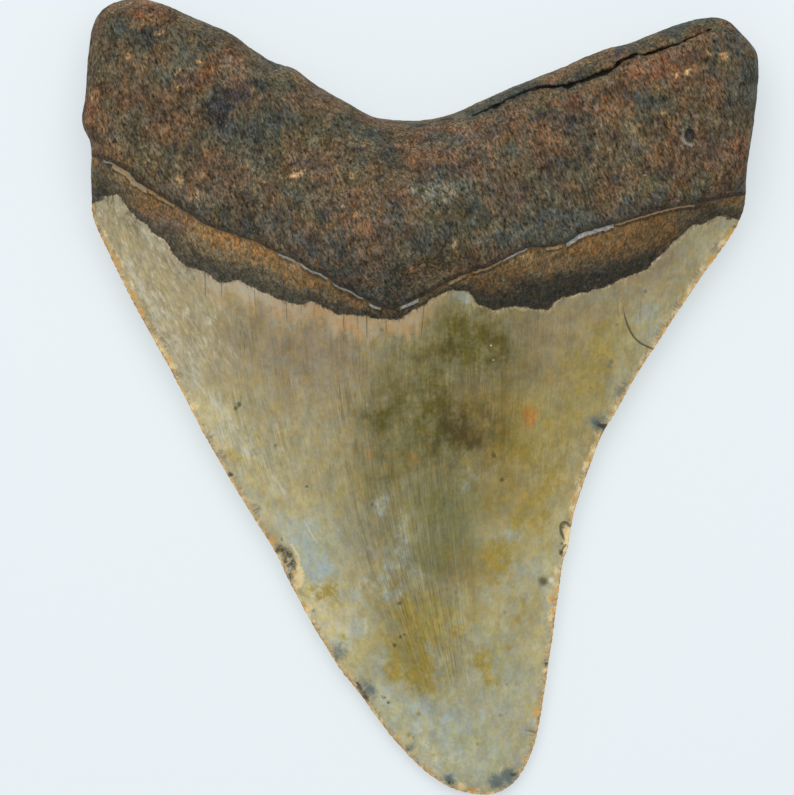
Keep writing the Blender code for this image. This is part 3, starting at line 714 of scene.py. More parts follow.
def reliefTree():
    tree = bpy.data.node_groups.new("toothRelief", "GeometryNodeTree")
    tree.is_modifier = True
    tree.interface.new_socket("Geometry", in_out="INPUT", socket_type="NodeSocketGeometry")
    for name, value in reliefSizes.items():
        tree.interface.new_socket(name, in_out="INPUT", socket_type="NodeSocketFloat").default_value = value
    tree.interface.new_socket("Finish", in_out="INPUT", socket_type="NodeSocketMaterial")
    tree.interface.new_socket("Geometry", in_out="OUTPUT", socket_type="NodeSocketGeometry")
    b = Bench(tree)
    given = b.node("NodeGroupInput")

    def mark(name, kind="FLOAT"):
        out = "Attribute"
        return b.node("GeometryNodeInputNamedAttribute", {"data_type": kind}, {"Name": name}, out)

    def seeded(place, seed, size, detail):  # noise that the seed changes
        sockets = {"Vector": place, "W": seed, "Scale": 1.0 / given.part(size), "Detail": detail}
        return b.node("ShaderNodeTexNoise", {"noise_dimensions": "4D"}, sockets)

    spot = b.node("GeometryNodeInputPosition") * 1000.0
    fibre = b.fibres(spot)
    seed = given.part("Seed")
    normal = b.node("GeometryNodeInputNormal")
    edgeGap = mark("edgeGap")
    edgeRun = mark("edgeRun")
    isRoot = mark("rootSide").rise(-0.1, 0.3)
    isEnamel = mark("enamelSide").rise(0.1, -0.2)
    isBand = 1.0 - isRoot.most(isEnamel)

    # serrations: rounded lobes that fade inwards and are worn unevenly
    wear = b.speckle(spot, 4.0, 1.0).rise(0.35, 0.65, 0.3, 1.2)
    lobe = (edgeRun / given.part("Serration pitch") * math.pi).sine().size() ** 0.6
    fade = (1.0 - edgeGap / given.part("Serration reach")).most(0.0)
    push = lobe * wear * given.part("Serration depth") * fade * fade * isEnamel
    groove = (lobe - 1.0) * given.part("Serration groove") * fade * isEnamel

    # root: knots, leaning fibres and pores
    grain = seeded(fibre, seed, "Root grain size", 3.0)
    knot = seeded(spot, seed + 3.0, "Root knot size", 2.0)
    pores = b.speckle(fibre, 1.5, 1.0).rise(0.42, 0.3)
    rootRelief = (grain - 0.5) * given.part("Root grain height") * 2.0
    rootRelief = rootRelief + (knot - 0.5) * given.part("Root knot height")
    rootRelief = rootRelief - pores * given.part("Root pore depth")
    rimFade = mark("rimGap").rise(0.0, 1.2, 0.35, 1.0)

    # band and enamel: grain that runs towards the tip
    y = b.node("ShaderNodeSeparateXYZ", None, {"Vector": spot}, "Y")
    place = {"X": mark("across") * 1.6, "Y": y * 0.12, "Z": y.part("Z") * 0.1}
    streaks = b.node("ShaderNodeCombineXYZ", None, place)
    streak = b.speckle(streaks, 1.0, 2.0)
    bandRelief = (b.speckle(spot * (1.6, 0.6, 1.0), 0.9, 3.0) - 0.5) * given.part("Band grain height") * 2.0
    ripple = (b.speckle(spot, 6.0, 2.0) - 0.5) * given.part("Enamel ripple height") * 2.0
    enamelRelief = ripple + (streak - 0.5) * given.part("Enamel streak height") * 2.0

    relief = isRoot * rootRelief * rimFade + isBand * bandRelief + isEnamel * enamelRelief * (1.0 - fade)
    relief = relief + groove
    offset = (normal * relief + mark("edgeOut", "FLOAT_VECTOR") * push) * 0.001
    shaped = b.node("GeometryNodeSetPosition", None, {"Geometry": given, "Offset": offset})
    worn = b.node("GeometryNodeInputPosition").most((-1.0, -1.0, bodyShape["restGap"] * 0.001))
    rested = b.node("GeometryNodeSetPosition", None, {"Geometry": shaped, "Position": worn})
    smooth = b.node("GeometryNodeSetShadeSmooth", None, {"Geometry": rested})
    real = b.node("GeometryNodeRealizeInstances", None, {"Geometry": smooth})
    done = b.node("GeometryNodeSetMaterial", None, {"Geometry": real, "Material": given.part("Finish")})
    b.node("NodeGroupOutput", None, {"Geometry": done})
    return tree


def paint(*levels):  # red, green and blue as a painter reads them, 0 to 255
    shares = [level / 255 for level in levels]
    return tuple(((s + 0.055) / 1.055) ** 2.4 if s > 0.04 else s / 12.92 for s in shares) + (1.0,)


def grey(level):
    return (level, level, level, 1.0)


def spots(*rows):  # x, y, half width, half height, lean in degrees, strength
    return rows


# Stains: the colour, how much they are broken up, where they start and are full, how strong, and
# the patches themselves. They are laid over each other in this order.
enamelBase = paint(174, 164, 127)
enamelStains = {
    "sageStain": (paint(167, 170, 147), 0.2, (0.0, 0.9), 0.9, spots(
        (8, -62, 13, 10, 0, 0.9), (14, -50, 6, 7, 0, 0.7), (-5, -52, 6, 4, -20, 0.8),
        (3, -53, 5, 4, 0, 0.4), (-3, -31, 7, 5, 0, 0.7), (-19, -26, 4, 7, 35, 0.9),
        (23, -31, 4, 8, 0, 0.6), (-13, -40, 5, 6, 0, 0.6), (-37, 11, 4, 5, 0, 0.5),
        (35, -3, 5, 9, -30, 0.5), (11, -40, 5, 6, 0, 0.5), (10, -24, 5, 5, 0, 0.3),
        (-6, -24, 4, 6, 0, 0.4), (-30, 15, 5, 4, 0, 0.4), (40, 10, 4, 6, -30, 0.4),
        (-12, -22, 4, 4, 0, 0.3), (13, -34.5, 5, 4, 0, 0.5), (11, -45, 6, 4, 0, 0.45),
        (-1, -50, 5, 3, 0, 0.4), (3, -40, 7, 4, 0, 0.3), (-18, -36, 4, 4, 0, 0.5),
        (-7, -40, 4, 5, 0, 0.35), (-8, -50, 3, 3, 0, 0.4), (-16, -28, 4, 4, 0, 0.3),
        (19, -28, 4, 4, 0, 0.3), (-13, -34.5, 4, 3, 0, 0.3),
    )),
    "paleStain": (paint(194, 183, 146), 0.25, (0.0, 1.0), 0.9, spots(
        (-18.5, -40, 4, 4, 0, 1.0), (-19, -34.5, 3, 3, 0, 1.0), (-13, -36, 3, 5, 0, 0.6),
        (-39, -3.5, 4, 5, 0, 0.7), (-33, -8, 5, 5, 0, 0.4), (-25, -16, 4, 5, 0, 0.3),
        (-18.5, -24, 4, 4, 0, 0.35), (24, -8, 4, 5, 0, 0.4), (28, -14, 3, 5, 0, 0.5),
        (14, -33, 4, 5, 0, 0.4), (22, -20, 4, 4, 0, 0.25), (18, -25, 4, 4, 0, 0.25),
        (-27, -4, 4, 4, 0, 0.2), (13, -24, 3, 3, 0, 0.3), (16, 7, 4, 4, 0, 0.25),
        (-5, -50, 4, 4, 0, 0.25), (17, -7.6, 4.4, 4, 0, 1.0), (18, -13.6, 4, 3, 0, 0.25),
        (-2.4, -3.4, 4, 4, 0, 0.4), (-13, 0, 3, 4, 0, 0.2), (39, 12.6, 3, 3, 0, 0.5),
        (-34, -3, 3, 4, 0, 0.35), (-33.5, -8.4, 3, 3, 0, 0.3), (-29, 12.4, 2.4, 2.6, 0, 0.35),
        (-24, -9, 3, 4, 0, 0.25),
    )),
    "fawnStain": (paint(150, 136, 104), 0.2, (0.0, 1.0), 1.0, spots(
        (-25, 12, 8, 8, 0, 0.9), (-12, 9, 9, 7, 0, 0.9), (-18, -3, 8, 8, 0, 0.35), (-8, -7, 7, 6, 0, 0.6),
        (20, 8, 9, 9, 0, 1.1), (31, 13, 10, 5, 40, 0.9), (29, 3, 5, 8, 0, 0.8), (-3, 14, 8, 4, 0, 0.5),
        (-6, -18, 6, 6, 0, 0.5), (-6, -28, 6, 8, 0, 0.4), (16, -14, 8, 9, 0, 0.4), (4, -33, 8, 7, 0, 0.4),
        (4, -45, 9, 7, 0, 0.4), (-47, 23, 3, 3, 0, 0.3), (45, 21, 7, 4, 50, 0.4), (15, -56, 4, 8, 0, 0.3),
        (-36, 12.6, 5, 3, 0, 0.8), (-31.6, 7.3, 5, 4, 0, 0.35), (-32.5, -19, 3, 3, 0, 0.3),
        (-28.5, -24, 2.6, 3, 0, 0.3),
    )),
    "mauveStain": (paint(138, 121, 98), 0.25, (0.0, 1.0), 0.9, spots(
        (-20, 10, 9, 6, 0, 0.45), (-12, 3, 5, 7, 0, 0.25), (-26, -3, 5, 3, 0, 0.2),
        (7.8, 2.4, 3.4, 2.4, 0, 0.9), (20, 4.5, 5.5, 5, 0, 0.35), (21, 1.5, 3, 1.6, 0, 0.3),
        (-24, 4, 4, 7, 0, 0.3), (-0.5, -5, 3, 2.4, 0, 0.3), (42.5, 23, 1.6, 3.4, -45, 0.7),
    )),
    "honeyStain": (paint(158, 142, 78), 0.35, (0.0, 1.1), 1.0, spots(
        (26, -3, 8, 8, 0, 0.5), (19, -10, 7, 7, 0, 0.5), (29, 4, 5, 6, 0, 0.6), (34, 10, 5, 5, 30, 0.6),
        (12, -18, 5, 5, 0, 0.5), (-10, -12, 8, 5, 0, 0.3), (16, -27, 8, 4, 0, 0.4),
        (22, -19, 6, 7, 0, 0.6), (-3, -20, 6, 5, 0, 0.2), (2, -37, 8, 4, 0, 0.6), (-3, -44, 7, 6, 0, 0.9),
        (11, -44, 6, 5, 0, 0.3), (18, -38, 6, 6, 0, 0.3), (-24, -4, 6, 7, 0, 0.15),
        (8, -28, 7, 4, 0, 0.4), (-17, -34, 4, 3, 0, 0.1), (-22, -16, 6, 5, 0, 0.1),
        (-8, -35, 3, 3, 0, 0.4), (15.5, -4, 4, 4, 0, 0.4), (15, -8.5, 4, 3, 0, 0.3),
    )),
    "oliveStain": (paint(97, 89, 38), 0.28, (0.0, 1.1), 1.0, spots(
        (5, 14, 5, 5, 0, 0.5), (12, 10, 6, 6, 0, 0.82), (3, 8, 6, 4, 0, 0.5), (-3, 2, 8, 6, 0, 0.6),
        (-8, -4, 4, 5, 0, 0.4), (7, -4, 8, 7, 0, 0.78), (0, -9, 7, 5, 0, 0.4), (15, 4, 4, 6, 0, 0.3),
        (7, -15, 4.5, 6, 0, 0.4), (4, -28, 6, 5, 0, 0.2), (-4, -22, 5, 6, 10, 0.25),
        (-4, -12, 7, 4, 0, 0.25), (-1, -45, 5, 5, 0, 0.25), (0, -36, 7, 4, 0, 0.1),
        (14, 16, 5, 3, 0, 0.4), (-11, -17, 6, 5, 0, 0.2), (-6, -3.1, 5, 3, 0, 0.3),
        (7.7, 7.0, 3, 3, 0, 0.35), (3.4, -2.6, 2.4, 2.4, 0, 0.1), (-5, -13.6, 5, 3, 0, 0.1),
        (12.9, -8.4, 3, 3, 0, 0.3), (-2, 13, 4, 2, 0, 0.3),
    )),
    "mossStain": (paint(104, 104, 64), 0.25, (0.0, 1.1), 1.0, spots(
        (1, -17, 6, 5, 0, 0.3), (8, -21, 4, 7, 0, 0.3), (-8, -24, 7, 4, 0, 0.25),
        (1.4, -29.3, 4, 2.6, 0, 0.4), (2, -29.3, 5, 4, 0, 0.2), (0, -36, 6, 4, 0, 0.2),
        (6, -27, 5, 6, 0, 0.35), (-1, -45, 4, 4, 0, 0.1), (13.5, -20, 4, 6, 0, 0.25),
        (2.6, -20, 4, 4.4, 0, 0.42), (-8, -15, 4, 3, 0, 0.3), (-2, -8, 5, 4, 0, 0.2),
        (-5, 12, 4, 3, 0, 0.35), (-3, 7, 3, 3, 0, 0.25), (3, -14, 4, 3, 0, 0.25),
        (-6, -18.8, 4, 2.6, 0, 0.2), (12.9, -45, 3, 3, 0, 0.15),
    )),
    "amberStain": (paint(128, 98, 26), 0.3, (0.0, 1.0), 1.0, spots(
        (12.9, -3, 4, 4, 0, 0.35), (7.7, -3, 3, 4, 0, 0.15), (13, -9, 4, 4, 0, 0.2),
        (15, -14, 6, 4, 0, 0.22), (18, -19, 5, 4, 0, 0.2), (9, -29.3, 5, 4, 0, 0.25),
        (28, -8.5, 3, 4, 0, 0.3), (3, -13, 3, 3, 0, 0.15), (-8, -34, 4, 5, 0, 0.2),
        (27, -15, 3, 4, 0, 0.15), (19, -36, 3, 5, 0, 0.15), (-8, -27, 3, 3, 0, 0.1),
    )),
    "umberStain": (paint(72, 62, 32), 0.45, (0.1, 1.2), 0.85, spots(
        (6.3, -4.7, 3.0, 3.2, 0, 1.1), (10.5, -4.5, 3.6, 3.4, 0, 0.6), (3.3, -8.0, 2.6, 2.4, 0, 0.4),
        (9.5, -8.6, 2.6, 2, 0, 0.4), (13.3, 9.6, 2.6, 3.6, 0, 0.5), (3.3, 7.9, 3, 1.8, 0, 0.4),
        (-0.5, 6.5, 2.2, 1.4, 0, 0.4), (13.8, 5.6, 1.4, 2, 0, 0.4), (4.9, -11.5, 1.4, 2.2, 0, 0.4),
        (-8.2, -2.8, 1.8, 2.6, 0, 0.35), (-5, -14, 2, 1, 0, 0.35), (5, -30, 2.4, 2.4, 0, 0.3),
    )),
    "ochreStain": (paint(154, 134, 54), 0.85, (0.28, 0.95), 0.8, spots(
        (-19.0, -33.7, 2.6, 1.6, 0, 0.7), (-16.2, -33.3, 2.6, 1.3, 0, 0.7),
        (-15, -35.6, 1.7, 1.4, 0, 0.6), (-13.8, -41.7, 1.8, 0.9, 0, 0.6), (-4.5, -34.0, 2.8, 1.7, 0, 0.7),
        (-1.9, -37.6, 4.2, 2.2, 0, 0.6), (-4.0, -47.4, 1.7, 3.0, 0, 0.75),
        (-1.6, -48.4, 2.8, 2.4, 0, 0.8), (0.7, -44.1, 2.2, 4.4, 0, 0.9), (-0.2, -50.7, 1.6, 1.6, 0, 0.8),
        (10.6, -46.8, 2.1, 2.6, 20, 0.9), (6.6, -42.0, 3, 1.4, 0, 0.4), (5.9, -39.8, 3, 1.5, 0, 0.4),
        (11.2, -27.6, 3, 1.6, 0, 0.8), (13.8, -26.3, 2, 3, 0, 0.6), (12.4, -31.6, 2.6, 2, 0, 0.35),
        (19, -18.8, 2, 3.6, 0, 0.7), (20.8, -21.8, 1.6, 2, 0, 0.5), (22.8, -15.3, 2.2, 3.2, 0, 0.7),
        (24.2, -8.7, 2, 1.4, 0, 0.2), (15.9, -22.3, 1.8, 1.6, 0, 0.5), (27.7, 5.6, 1.4, 2.8, 0, 0.6),
        (31.2, 11.7, 1.6, 3, 0, 0.5), (36.4, 5.9, 1.6, 1.4, 0, 0.5), (-19, -16.6, 2.6, 2.6, 0, 0.4),
        (-26, -18.3, 1.5, 1.2, 0, 0.6), (-33, -9.9, 1.4, 1.6, 0, 0.6), (-36.7, 15.4, 4, 1.3, 0, 0.5),
        (17.3, -34.5, 1.5, 1.4, 0, 0.5), (17.3, -38.2, 1, 1.5, 0, 0.5), (-3.7, -12.7, 3, 2, 0, 0.5),
        (14.6, 14.4, 2.4, 1.0, 0, 0.4),
    )),
    "rustStain": (paint(176, 118, 52), 0.5, (0.1, 1.3), 0.75, spots(
        (18.7, -2.7, 1.3, 1.2, 0, 1.2), (19.1, -4.6, 0.9, 0.9, 0, 0.7), (11.3, -27.7, 1.8, 1, 0, 0.4),
        (17.6, -17.4, 1, 1.6, 0, 0.4), (22.8, -15, 1, 1.4, 0, 0.35), (-5.2, -48, 0.8, 1.6, 0, 0.25),
        (-8.9, -10.1, 0.8, 1.4, 0, 0.5), (-1.4, -11, 1.1, 1.5, 0, 0.5), (-5, -34.7, 1.6, 1, 0, 0.25),
        (4.2, 18.2, 1.2, 1.4, 0, 0.8), (35.6, 20.2, 0.9, 0.6, 0, 0.9), (15.7, 16.6, 0.6, 0.5, 0, 1.0),
        (-28.9, 16.6, 0.4, 0.4, 0, 1.2),
    )),
    "mistStain": (paint(164, 169, 154), 0.7, (0.15, 1.0), 0.85, spots(
        (-19.7, -26.3, 2.9, 6.0, 35, 1.1), (-17.6, -30.6, 2.2, 1.8, 0, 0.8),
        (-7.2, -19.4, 1.6, 1.8, 0, 0.8), (-3.7, -22.3, 1.5, 3, 5, 0.45), (-3.7, -26.7, 1.7, 3.4, 5, 0.5),
        (-6.4, -31.6, 1.0, 2.4, 0, 0.55), (-4.0, -34.2, 2.6, 0.8, 0, 0.55),
        (-4.5, -29.0, 2.4, 0.8, 0, 0.4), (0.2, -31.2, 1.2, 2.2, 0, 0.5), (-12, -33.7, 1.9, 2.6, 0, 0.7),
        (-10.3, -39.8, 2.4, 2.6, 0, 0.8), (8.2, -12.7, 1.8, 1.4, 0, 0.35), (7.2, -15.7, 1.6, 1, 0, 0.35),
        (15.5, -24.1, 3, 1.2, 0, 0.6), (19, -30.2, 4, 2.2, 0, 0.5), (2.6, -45, 1.2, 4, 12, 0.6),
        (-2.8, -53, 6, 1.6, -15, 0.8), (-7.4, -45, 1.3, 2, 0, 0.7), (-8.2, -2.6, 1, 2.2, 0, 0.3),
        (33.6, -3.4, 2.4, 1.6, -30, 0.5), (-37.4, 13.6, 2.4, 1.6, 0, 0.6), (-25, 12.6, 2.4, 1.4, 0, 0.4),
        (40, 13.6, 2.2, 4, 0, 0.5), (28.6, -13.4, 1.4, 5, -15, 0.4), (7, 18.2, 2.4, 1.0, -10, 0.9),
        (5, -56, 4, 3, 0, 0.4),
    )),
    "frostStain": (paint(196, 192, 172), 0.8, (0.2, 1.0), 0.7, spots(
        (-11.5, -33.4, 0.9, 2, 0, 0.6), (-9.9, -39.4, 1.4, 1.8, 0, 0.7), (0.2, -58.8, 0.6, 3.2, 15, 0.8),
        (2.0, -63.0, 1.4, 2.4, 40, 0.5), (-40.6, 6, 1.6, 5, 30, 0.6), (-31, -9.2, 0.8, 3.0, 40, 0.7),
        (-47, 24.6, 2, 3, 0, 0.5), (41.0, 24.4, 0.8, 0.4, 40, 1.2), (5, -63.4, 4, 1.4, -30, 0.5),
        (-50, 20, 2.5, 5, 25, 0.5), (-45, 14, 1.6, 4, 30, 0.6),
    )),
}

bandStains = {
    "bandCoal": (paint(52, 50, 42), 0.7, (0.15, 1.0), 0.75, spots(
        (-55.6, 37.4, 2.6, 3.6, 0, 1.0), (-51.0, 35.4, 1.6, 1.8, -35, 0.4),
        (-40.5, 26.6, 6, 1.5, -38, 0.3), (-31.0, 21.0, 6, 1.5, -22, 0.5), (-20, 17.4, 6, 1.0, -15, 0.4),
        (-5.9, 14.9, 4, 1.3, 0, 1.0), (12.0, 17.4, 5, 2.2, 8, 1.8), (21, 18.4, 6, 2.2, 8, 1.9),
        (30.5, 20.4, 6, 2.0, 15, 1.7), (38.5, 24.2, 4, 1.8, 25, 1.4), (48.7, 32.4, 3.4, 1.2, 15, 1.4),
        (-31.2, 28.6, 1.0, 0.6, -10, 1.0), (20.9, 24.6, 0.5, 0.6, 0, 0.8),
        (43.8, 28.2, 1.6, 1.0, 30, 0.6),
    )),
    "bandPlum": (paint(112, 88, 72), 0.6, (0.1, 0.9), 0.8, spots(
        (-42.6, 30.8, 3.4, 2.2, -35, 1.0), (-46.6, 33.4, 2.2, 1.8, -35, 0.5), (22, 23.0, 4, 0.8, 12, 0.4),
    )),
    "bandBrown": (paint(108, 85, 54), 0.5, (0.1, 0.9), 0.8, spots(
        (-48.0, 34.0, 3, 1.8, -38, 1.0), (-43.5, 31.8, 4, 1.4, -35, 0.5), (30, 25.0, 8, 2.2, 12, 0.8),
        (40, 28.6, 6, 2.2, 20, 0.8), (12, 20.4, 4, 1.0, 15, 0.7),
    )),
    "bandGold": (paint(138, 100, 56), 0.9, (0.15, 1.2), 0.62, spots(
        (-41, 33.0, 3, 0.6, -35, 0.7), (-35.4, 28.6, 2.6, 1.2, -25, 0.9),
        (-34.0, 26.6, 3.2, 1.6, -25, 0.8), (-27.4, 25.0, 3.4, 1.1, -20, 1.1),
        (-26, 22.8, 4, 1.4, -22, 0.7), (-19, 20.4, 4, 1.1, -22, 0.7), (-12, 17.2, 3, 0.7, -28, 0.6),
        (9.0, 20.8, 2.4, 0.6, 20, 0.9), (26, 26.4, 3, 0.9, 10, 1.0), (31, 27.8, 5, 1.0, 12, 0.9),
        (38, 29.6, 4, 1.3, 15, 0.8), (42.4, 30.4, 1.1, 1.2, 0, 1.3), (41.8, 27.2, 0.8, 1.2, 0, 0.8),
        (33, 25.6, 3, 1.0, 12, 0.6),
    )),
    "bandTan": (paint(172, 144, 106), 0.9, (0.2, 1.0), 0.75, spots(
        (15.8, 24.6, 2.6, 0.8, 12, 1.1), (12.4, 23.2, 1.6, 0.6, 25, 0.8),
        (-22.8, 22.8, 1.6, 0.6, -25, 0.8), (6.0, 20.2, 1.2, 0.5, 25, 0.8), (23, 25.0, 1.8, 0.5, 10, 0.8),
    )),
}

rootStains = {
    "rootOlive": (paint(92, 86, 60), 0.8, (0.1, 1.0), 0.7, spots(
        (-48, 40, 7, 4, -20, 0.8), (-30, 36, 6, 5, 0, 0.5), (34, 42, 9, 4, 10, 0.7),
        (38, 36, 9, 3, 10, 0.7), (-20, 44, 6, 5, 0, 0.5), (48, 50, 5, 3, 0, 0.6), (8, 28, 9, 4, 20, 0.5),
        (-52, 56, 5, 8, 0, 0.3),
    )),
    "rootRed": (paint(118, 80, 54), 0.9, (0.1, 1.0), 0.7, spots(
        (-37.1, 56, 2.4, 2.0, 0, 1.0), (-57.3, 50.4, 1.8, 4, 0, 0.9), (-13.3, 30, 3.8, 4.2, 0, 0.7),
        (39, 56.9, 5, 1.8, 20, 1.0), (55.3, 43, 1.8, 3, 0, 0.9), (-47.6, 66.4, 4.4, 2.2, -10, 0.9),
        (-44, 45, 4, 2, 0, 0.5), (20, 45, 5, 3, 0, 0.6), (30, 50, 6, 3, 10, 0.7), (0, 42, 5, 3, 0, 0.4),
        (46, 57, 4, 3, 0, 0.5), (-53, 43, 3, 2, 0, 0.5),
    )),
    "rootSlate": (paint(66, 70, 67), 0.8, (0.1, 1.0), 0.8, spots(
        (16, 27, 7, 2.2, 12, 0.8), (28, 31.5, 9, 2.2, 12, 0.9), (40, 33.6, 6, 1.2, 12, 0.8),
        (-25, 29, 6, 2.6, -25, 1.0), (-38, 33, 5, 2.0, -30, 0.9), (-15, 24, 5, 3, -28, 0.9),
        (-6, 19, 5, 3, 0, 0.9), (4.2, 44.3, 2, 1, 0, 0.8), (-8, 28, 7, 5, 0, 0.4),
        (54.6, 61, 2.2, 2.6, 0, 1.1), (3, 37, 4, 2.6, 0, 0.7), (-42, 60, 4, 3, -30, 0.2),
        (-44, 37, 4, 2, -30, 0.4), (14, 34, 5, 4, 0, 0.5), (24, 38, 5, 3, 0, 0.4),
        (-31, 45, 4, 5, 0, 0.5),
    )),
    "rootInk": (paint(38, 44, 54), 1.0, (0.25, 0.9), 0.8, spots(
        (-35.0, 51.8, 2.0, 2.2, -25, 1.2), (-35.6, 48.6, 2.2, 1.3, 0, 1.0),
        (-36.6, 59.8, 1.8, 0.9, -15, 0.8), (-28.4, 54.3, 1.5, 1.1, 0, 1.0),
        (-30.6, 52.4, 1.0, 0.8, 0, 0.8), (-48.1, 53.2, 1.3, 1.3, 0, 0.7), (-41.2, 54.6, 1.2, 0.8, 0, 0.8),
        (-33.6, 45.6, 2.2, 0.8, 0, 0.6), (-7.2, 35.2, 1.0, 1.2, 0, 0.7), (-4.9, 33.1, 1.1, 0.9, 0, 0.8),
        (-7.5, 31.4, 1.1, 1.0, 0, 0.7), (27.7, 55.6, 1.2, 1.0, 0, 0.8), (34.4, 59.6, 2.2, 1.0, 20, 0.9),
        (24.6, 54.6, 1.6, 1.2, 0, 0.6), (50.4, 56.5, 1.4, 0.8, 0, 0.9), (53.7, 50.9, 1.0, 1.0, 0, 0.8),
        (55.6, 36.6, 0.9, 2.0, 0, 0.8), (-21, 40.5, 1.2, 1.0, 0, 0.5), (52.6, 60.0, 1.8, 1.6, 0, 0.6),
        (-10, 41, 1.4, 1.0, 0, 0.5), (12, 39, 1.4, 1.2, 0, 0.5), (24, 40, 1.6, 1.2, 0, 0.5),
        (43, 40, 1.2, 1.6, 0, 0.6), (-52, 62, 2.2, 1.4, 30, 0.6), (-47.4, 58, 1.4, 0.8, 0, 0.5),
        (20.6, 48.6, 1.4, 1.4, 0, 0.7), (27, 47.8, 2.0, 1.2, 0, 0.6), (36.6, 43.0, 2.4, 1.4, -20, 0.6),
        (34, 38.4, 1.4, 1.8, 0, 0.6), (28.6, 41.8, 1.6, 1.4, 0, 0.6), (-30, 29.6, 2.2, 1.4, -20, 0.9),
        (-36.6, 31.4, 2.0, 0.8, -30, 0.6), (3.0, 38.2, 3.0, 0.9, 0, 0.6),
    )),
    "rootCrust": (paint(112, 113, 100), 0.9, (0.15, 0.9), 0.8, spots(
        (4.0, 36.2, 3.6, 1.6, -10, 0.9), (-1.4, 35.6, 1.8, 1.4, 0, 0.8), (2.0, 33.6, 2.4, 1.0, 0, 0.7),
        (-38.0, 35.0, 1.8, 1.2, -15, 0.7), (-27, 41, 2.6, 0.8, 30, 0.5), (6.6, 48.6, 2.2, 0.8, 15, 0.6),
        (-14, 33, 1.6, 1.0, 0, 0.5), (-52.6, 45, 1.4, 1.0, 0, 0.5),
    )),
    "rootTan": (paint(174, 142, 100), 0.7, (0.25, 0.8), 0.8, spots(
        (-42.6, 56, 0.5, 0.5, 0, 1.1), (-42.0, 53.5, 0.6, 0.4, 0, 1.2), (-50.9, 58.8, 0.9, 0.7, 0, 0.7),
        (-38.5, 58.2, 0.5, 0.5, 0, 1.0), (-45.3, 63, 0.7, 0.6, 0, 0.9), (-21.8, 38.5, 1.0, 0.8, 0, 1.2),
        (-24.4, 38.2, 0.4, 0.8, 30, 1.1), (-11.2, 31.4, 0.6, 0.5, 0, 1.0), (29.3, 57.9, 0.6, 0.5, 0, 1.0),
        (44.3, 55.6, 0.6, 0.7, 0, 1.1), (46.2, 56.0, 0.6, 0.6, 0, 1.1), (50.0, 59.2, 0.6, 0.5, 0, 0.9),
        (52.5, 59.0, 0.5, 0.6, 0, 0.9), (-38.3, 35.0, 2.2, 1.5, -15, 0.6),
        (-42.0, 37.8, 0.7, 0.7, 0, 0.8), (41.8, 49.4, 0.5, 0.6, 0, 0.8), (-57.0, 52.0, 0.5, 1.2, 0, 0.6),
        (-12.2, 38.2, 1.0, 0.6, 0, 0.9), (-37.6, 38.4, 0.6, 0.6, 0, 0.6), (-1.8, 22.0, 0.5, 0.5, 0, 0.8),
        (5.6, 26.0, 0.4, 0.7, 0, 0.7), (37.2, 46.6, 0.8, 1.2, 0, 0.5), (23.6, 46.4, 0.5, 0.4, 0, 0.7),
    )),
}

# Small marks in the enamel: the colour, how strong, and x, y, radius of each.
specks = {
    "bark": (paint(82, 74, 46), 0.85, [
        (21.3, -32.1, 0.8), (-31.7, -1.3, 0.45), (-32.3, -1.9, 0.4), (-3.7, -35.9, 0.3),
        (-3.0, -41.3, 0.3), (-3.6, -41.7, 0.25), (-4.6, -43.2, 0.3), (-6.3, -52.4, 0.25),
        (-5.7, -53.3, 0.25), (14.1, -14.4, 0.35), (-8.5, -18.6, 0.25), (12.6, -10.2, 0.4),
        (-19.9, -15.6, 0.25),
    ]),
    "slate": (paint(112, 112, 96), 0.8, [
        (31.7, 7.3, 0.25), (33.1, 6.1, 0.4), (32.7, 5.4, 0.3), (29.5, 1.6, 0.25), (-25.3, -8.4, 0.3),
        (34.0, 12.6, 0.25), (39.0, 18.4, 0.35), (-6.8, 11.6, 0.3), (-14.0, -6.2, 0.2),
    ]),
    "amber": (paint(156, 132, 58), 0.8, [
        (14.6, -37.4, 0.35), (16.9, -38.8, 0.5), (15.4, -43.8, 0.45), (-0.4, -55.3, 0.35),
        (-2.1, -58.9, 0.5), (-1.4, -59.4, 0.3), (13.9, -55.5, 0.3), (14.9, -50.1, 0.3),
        (9.8, -44.8, 0.35), (9.9, -60.6, 0.3), (-44.3, 21.9, 0.4), (-10.0, 7.6, 0.35), (-9.4, 7.0, 0.3),
        (13.4, -32.4, 0.4),
    ]),
    "chalk": (paint(218, 214, 192), 0.9, [
        (22.8, -32.0, 0.45), (12.1, 8.9, 0.12), (12.5, 6.4, 0.14), (9.5, 4.8, 0.1), (12.0, -35.3, 0.15),
    ]),
}


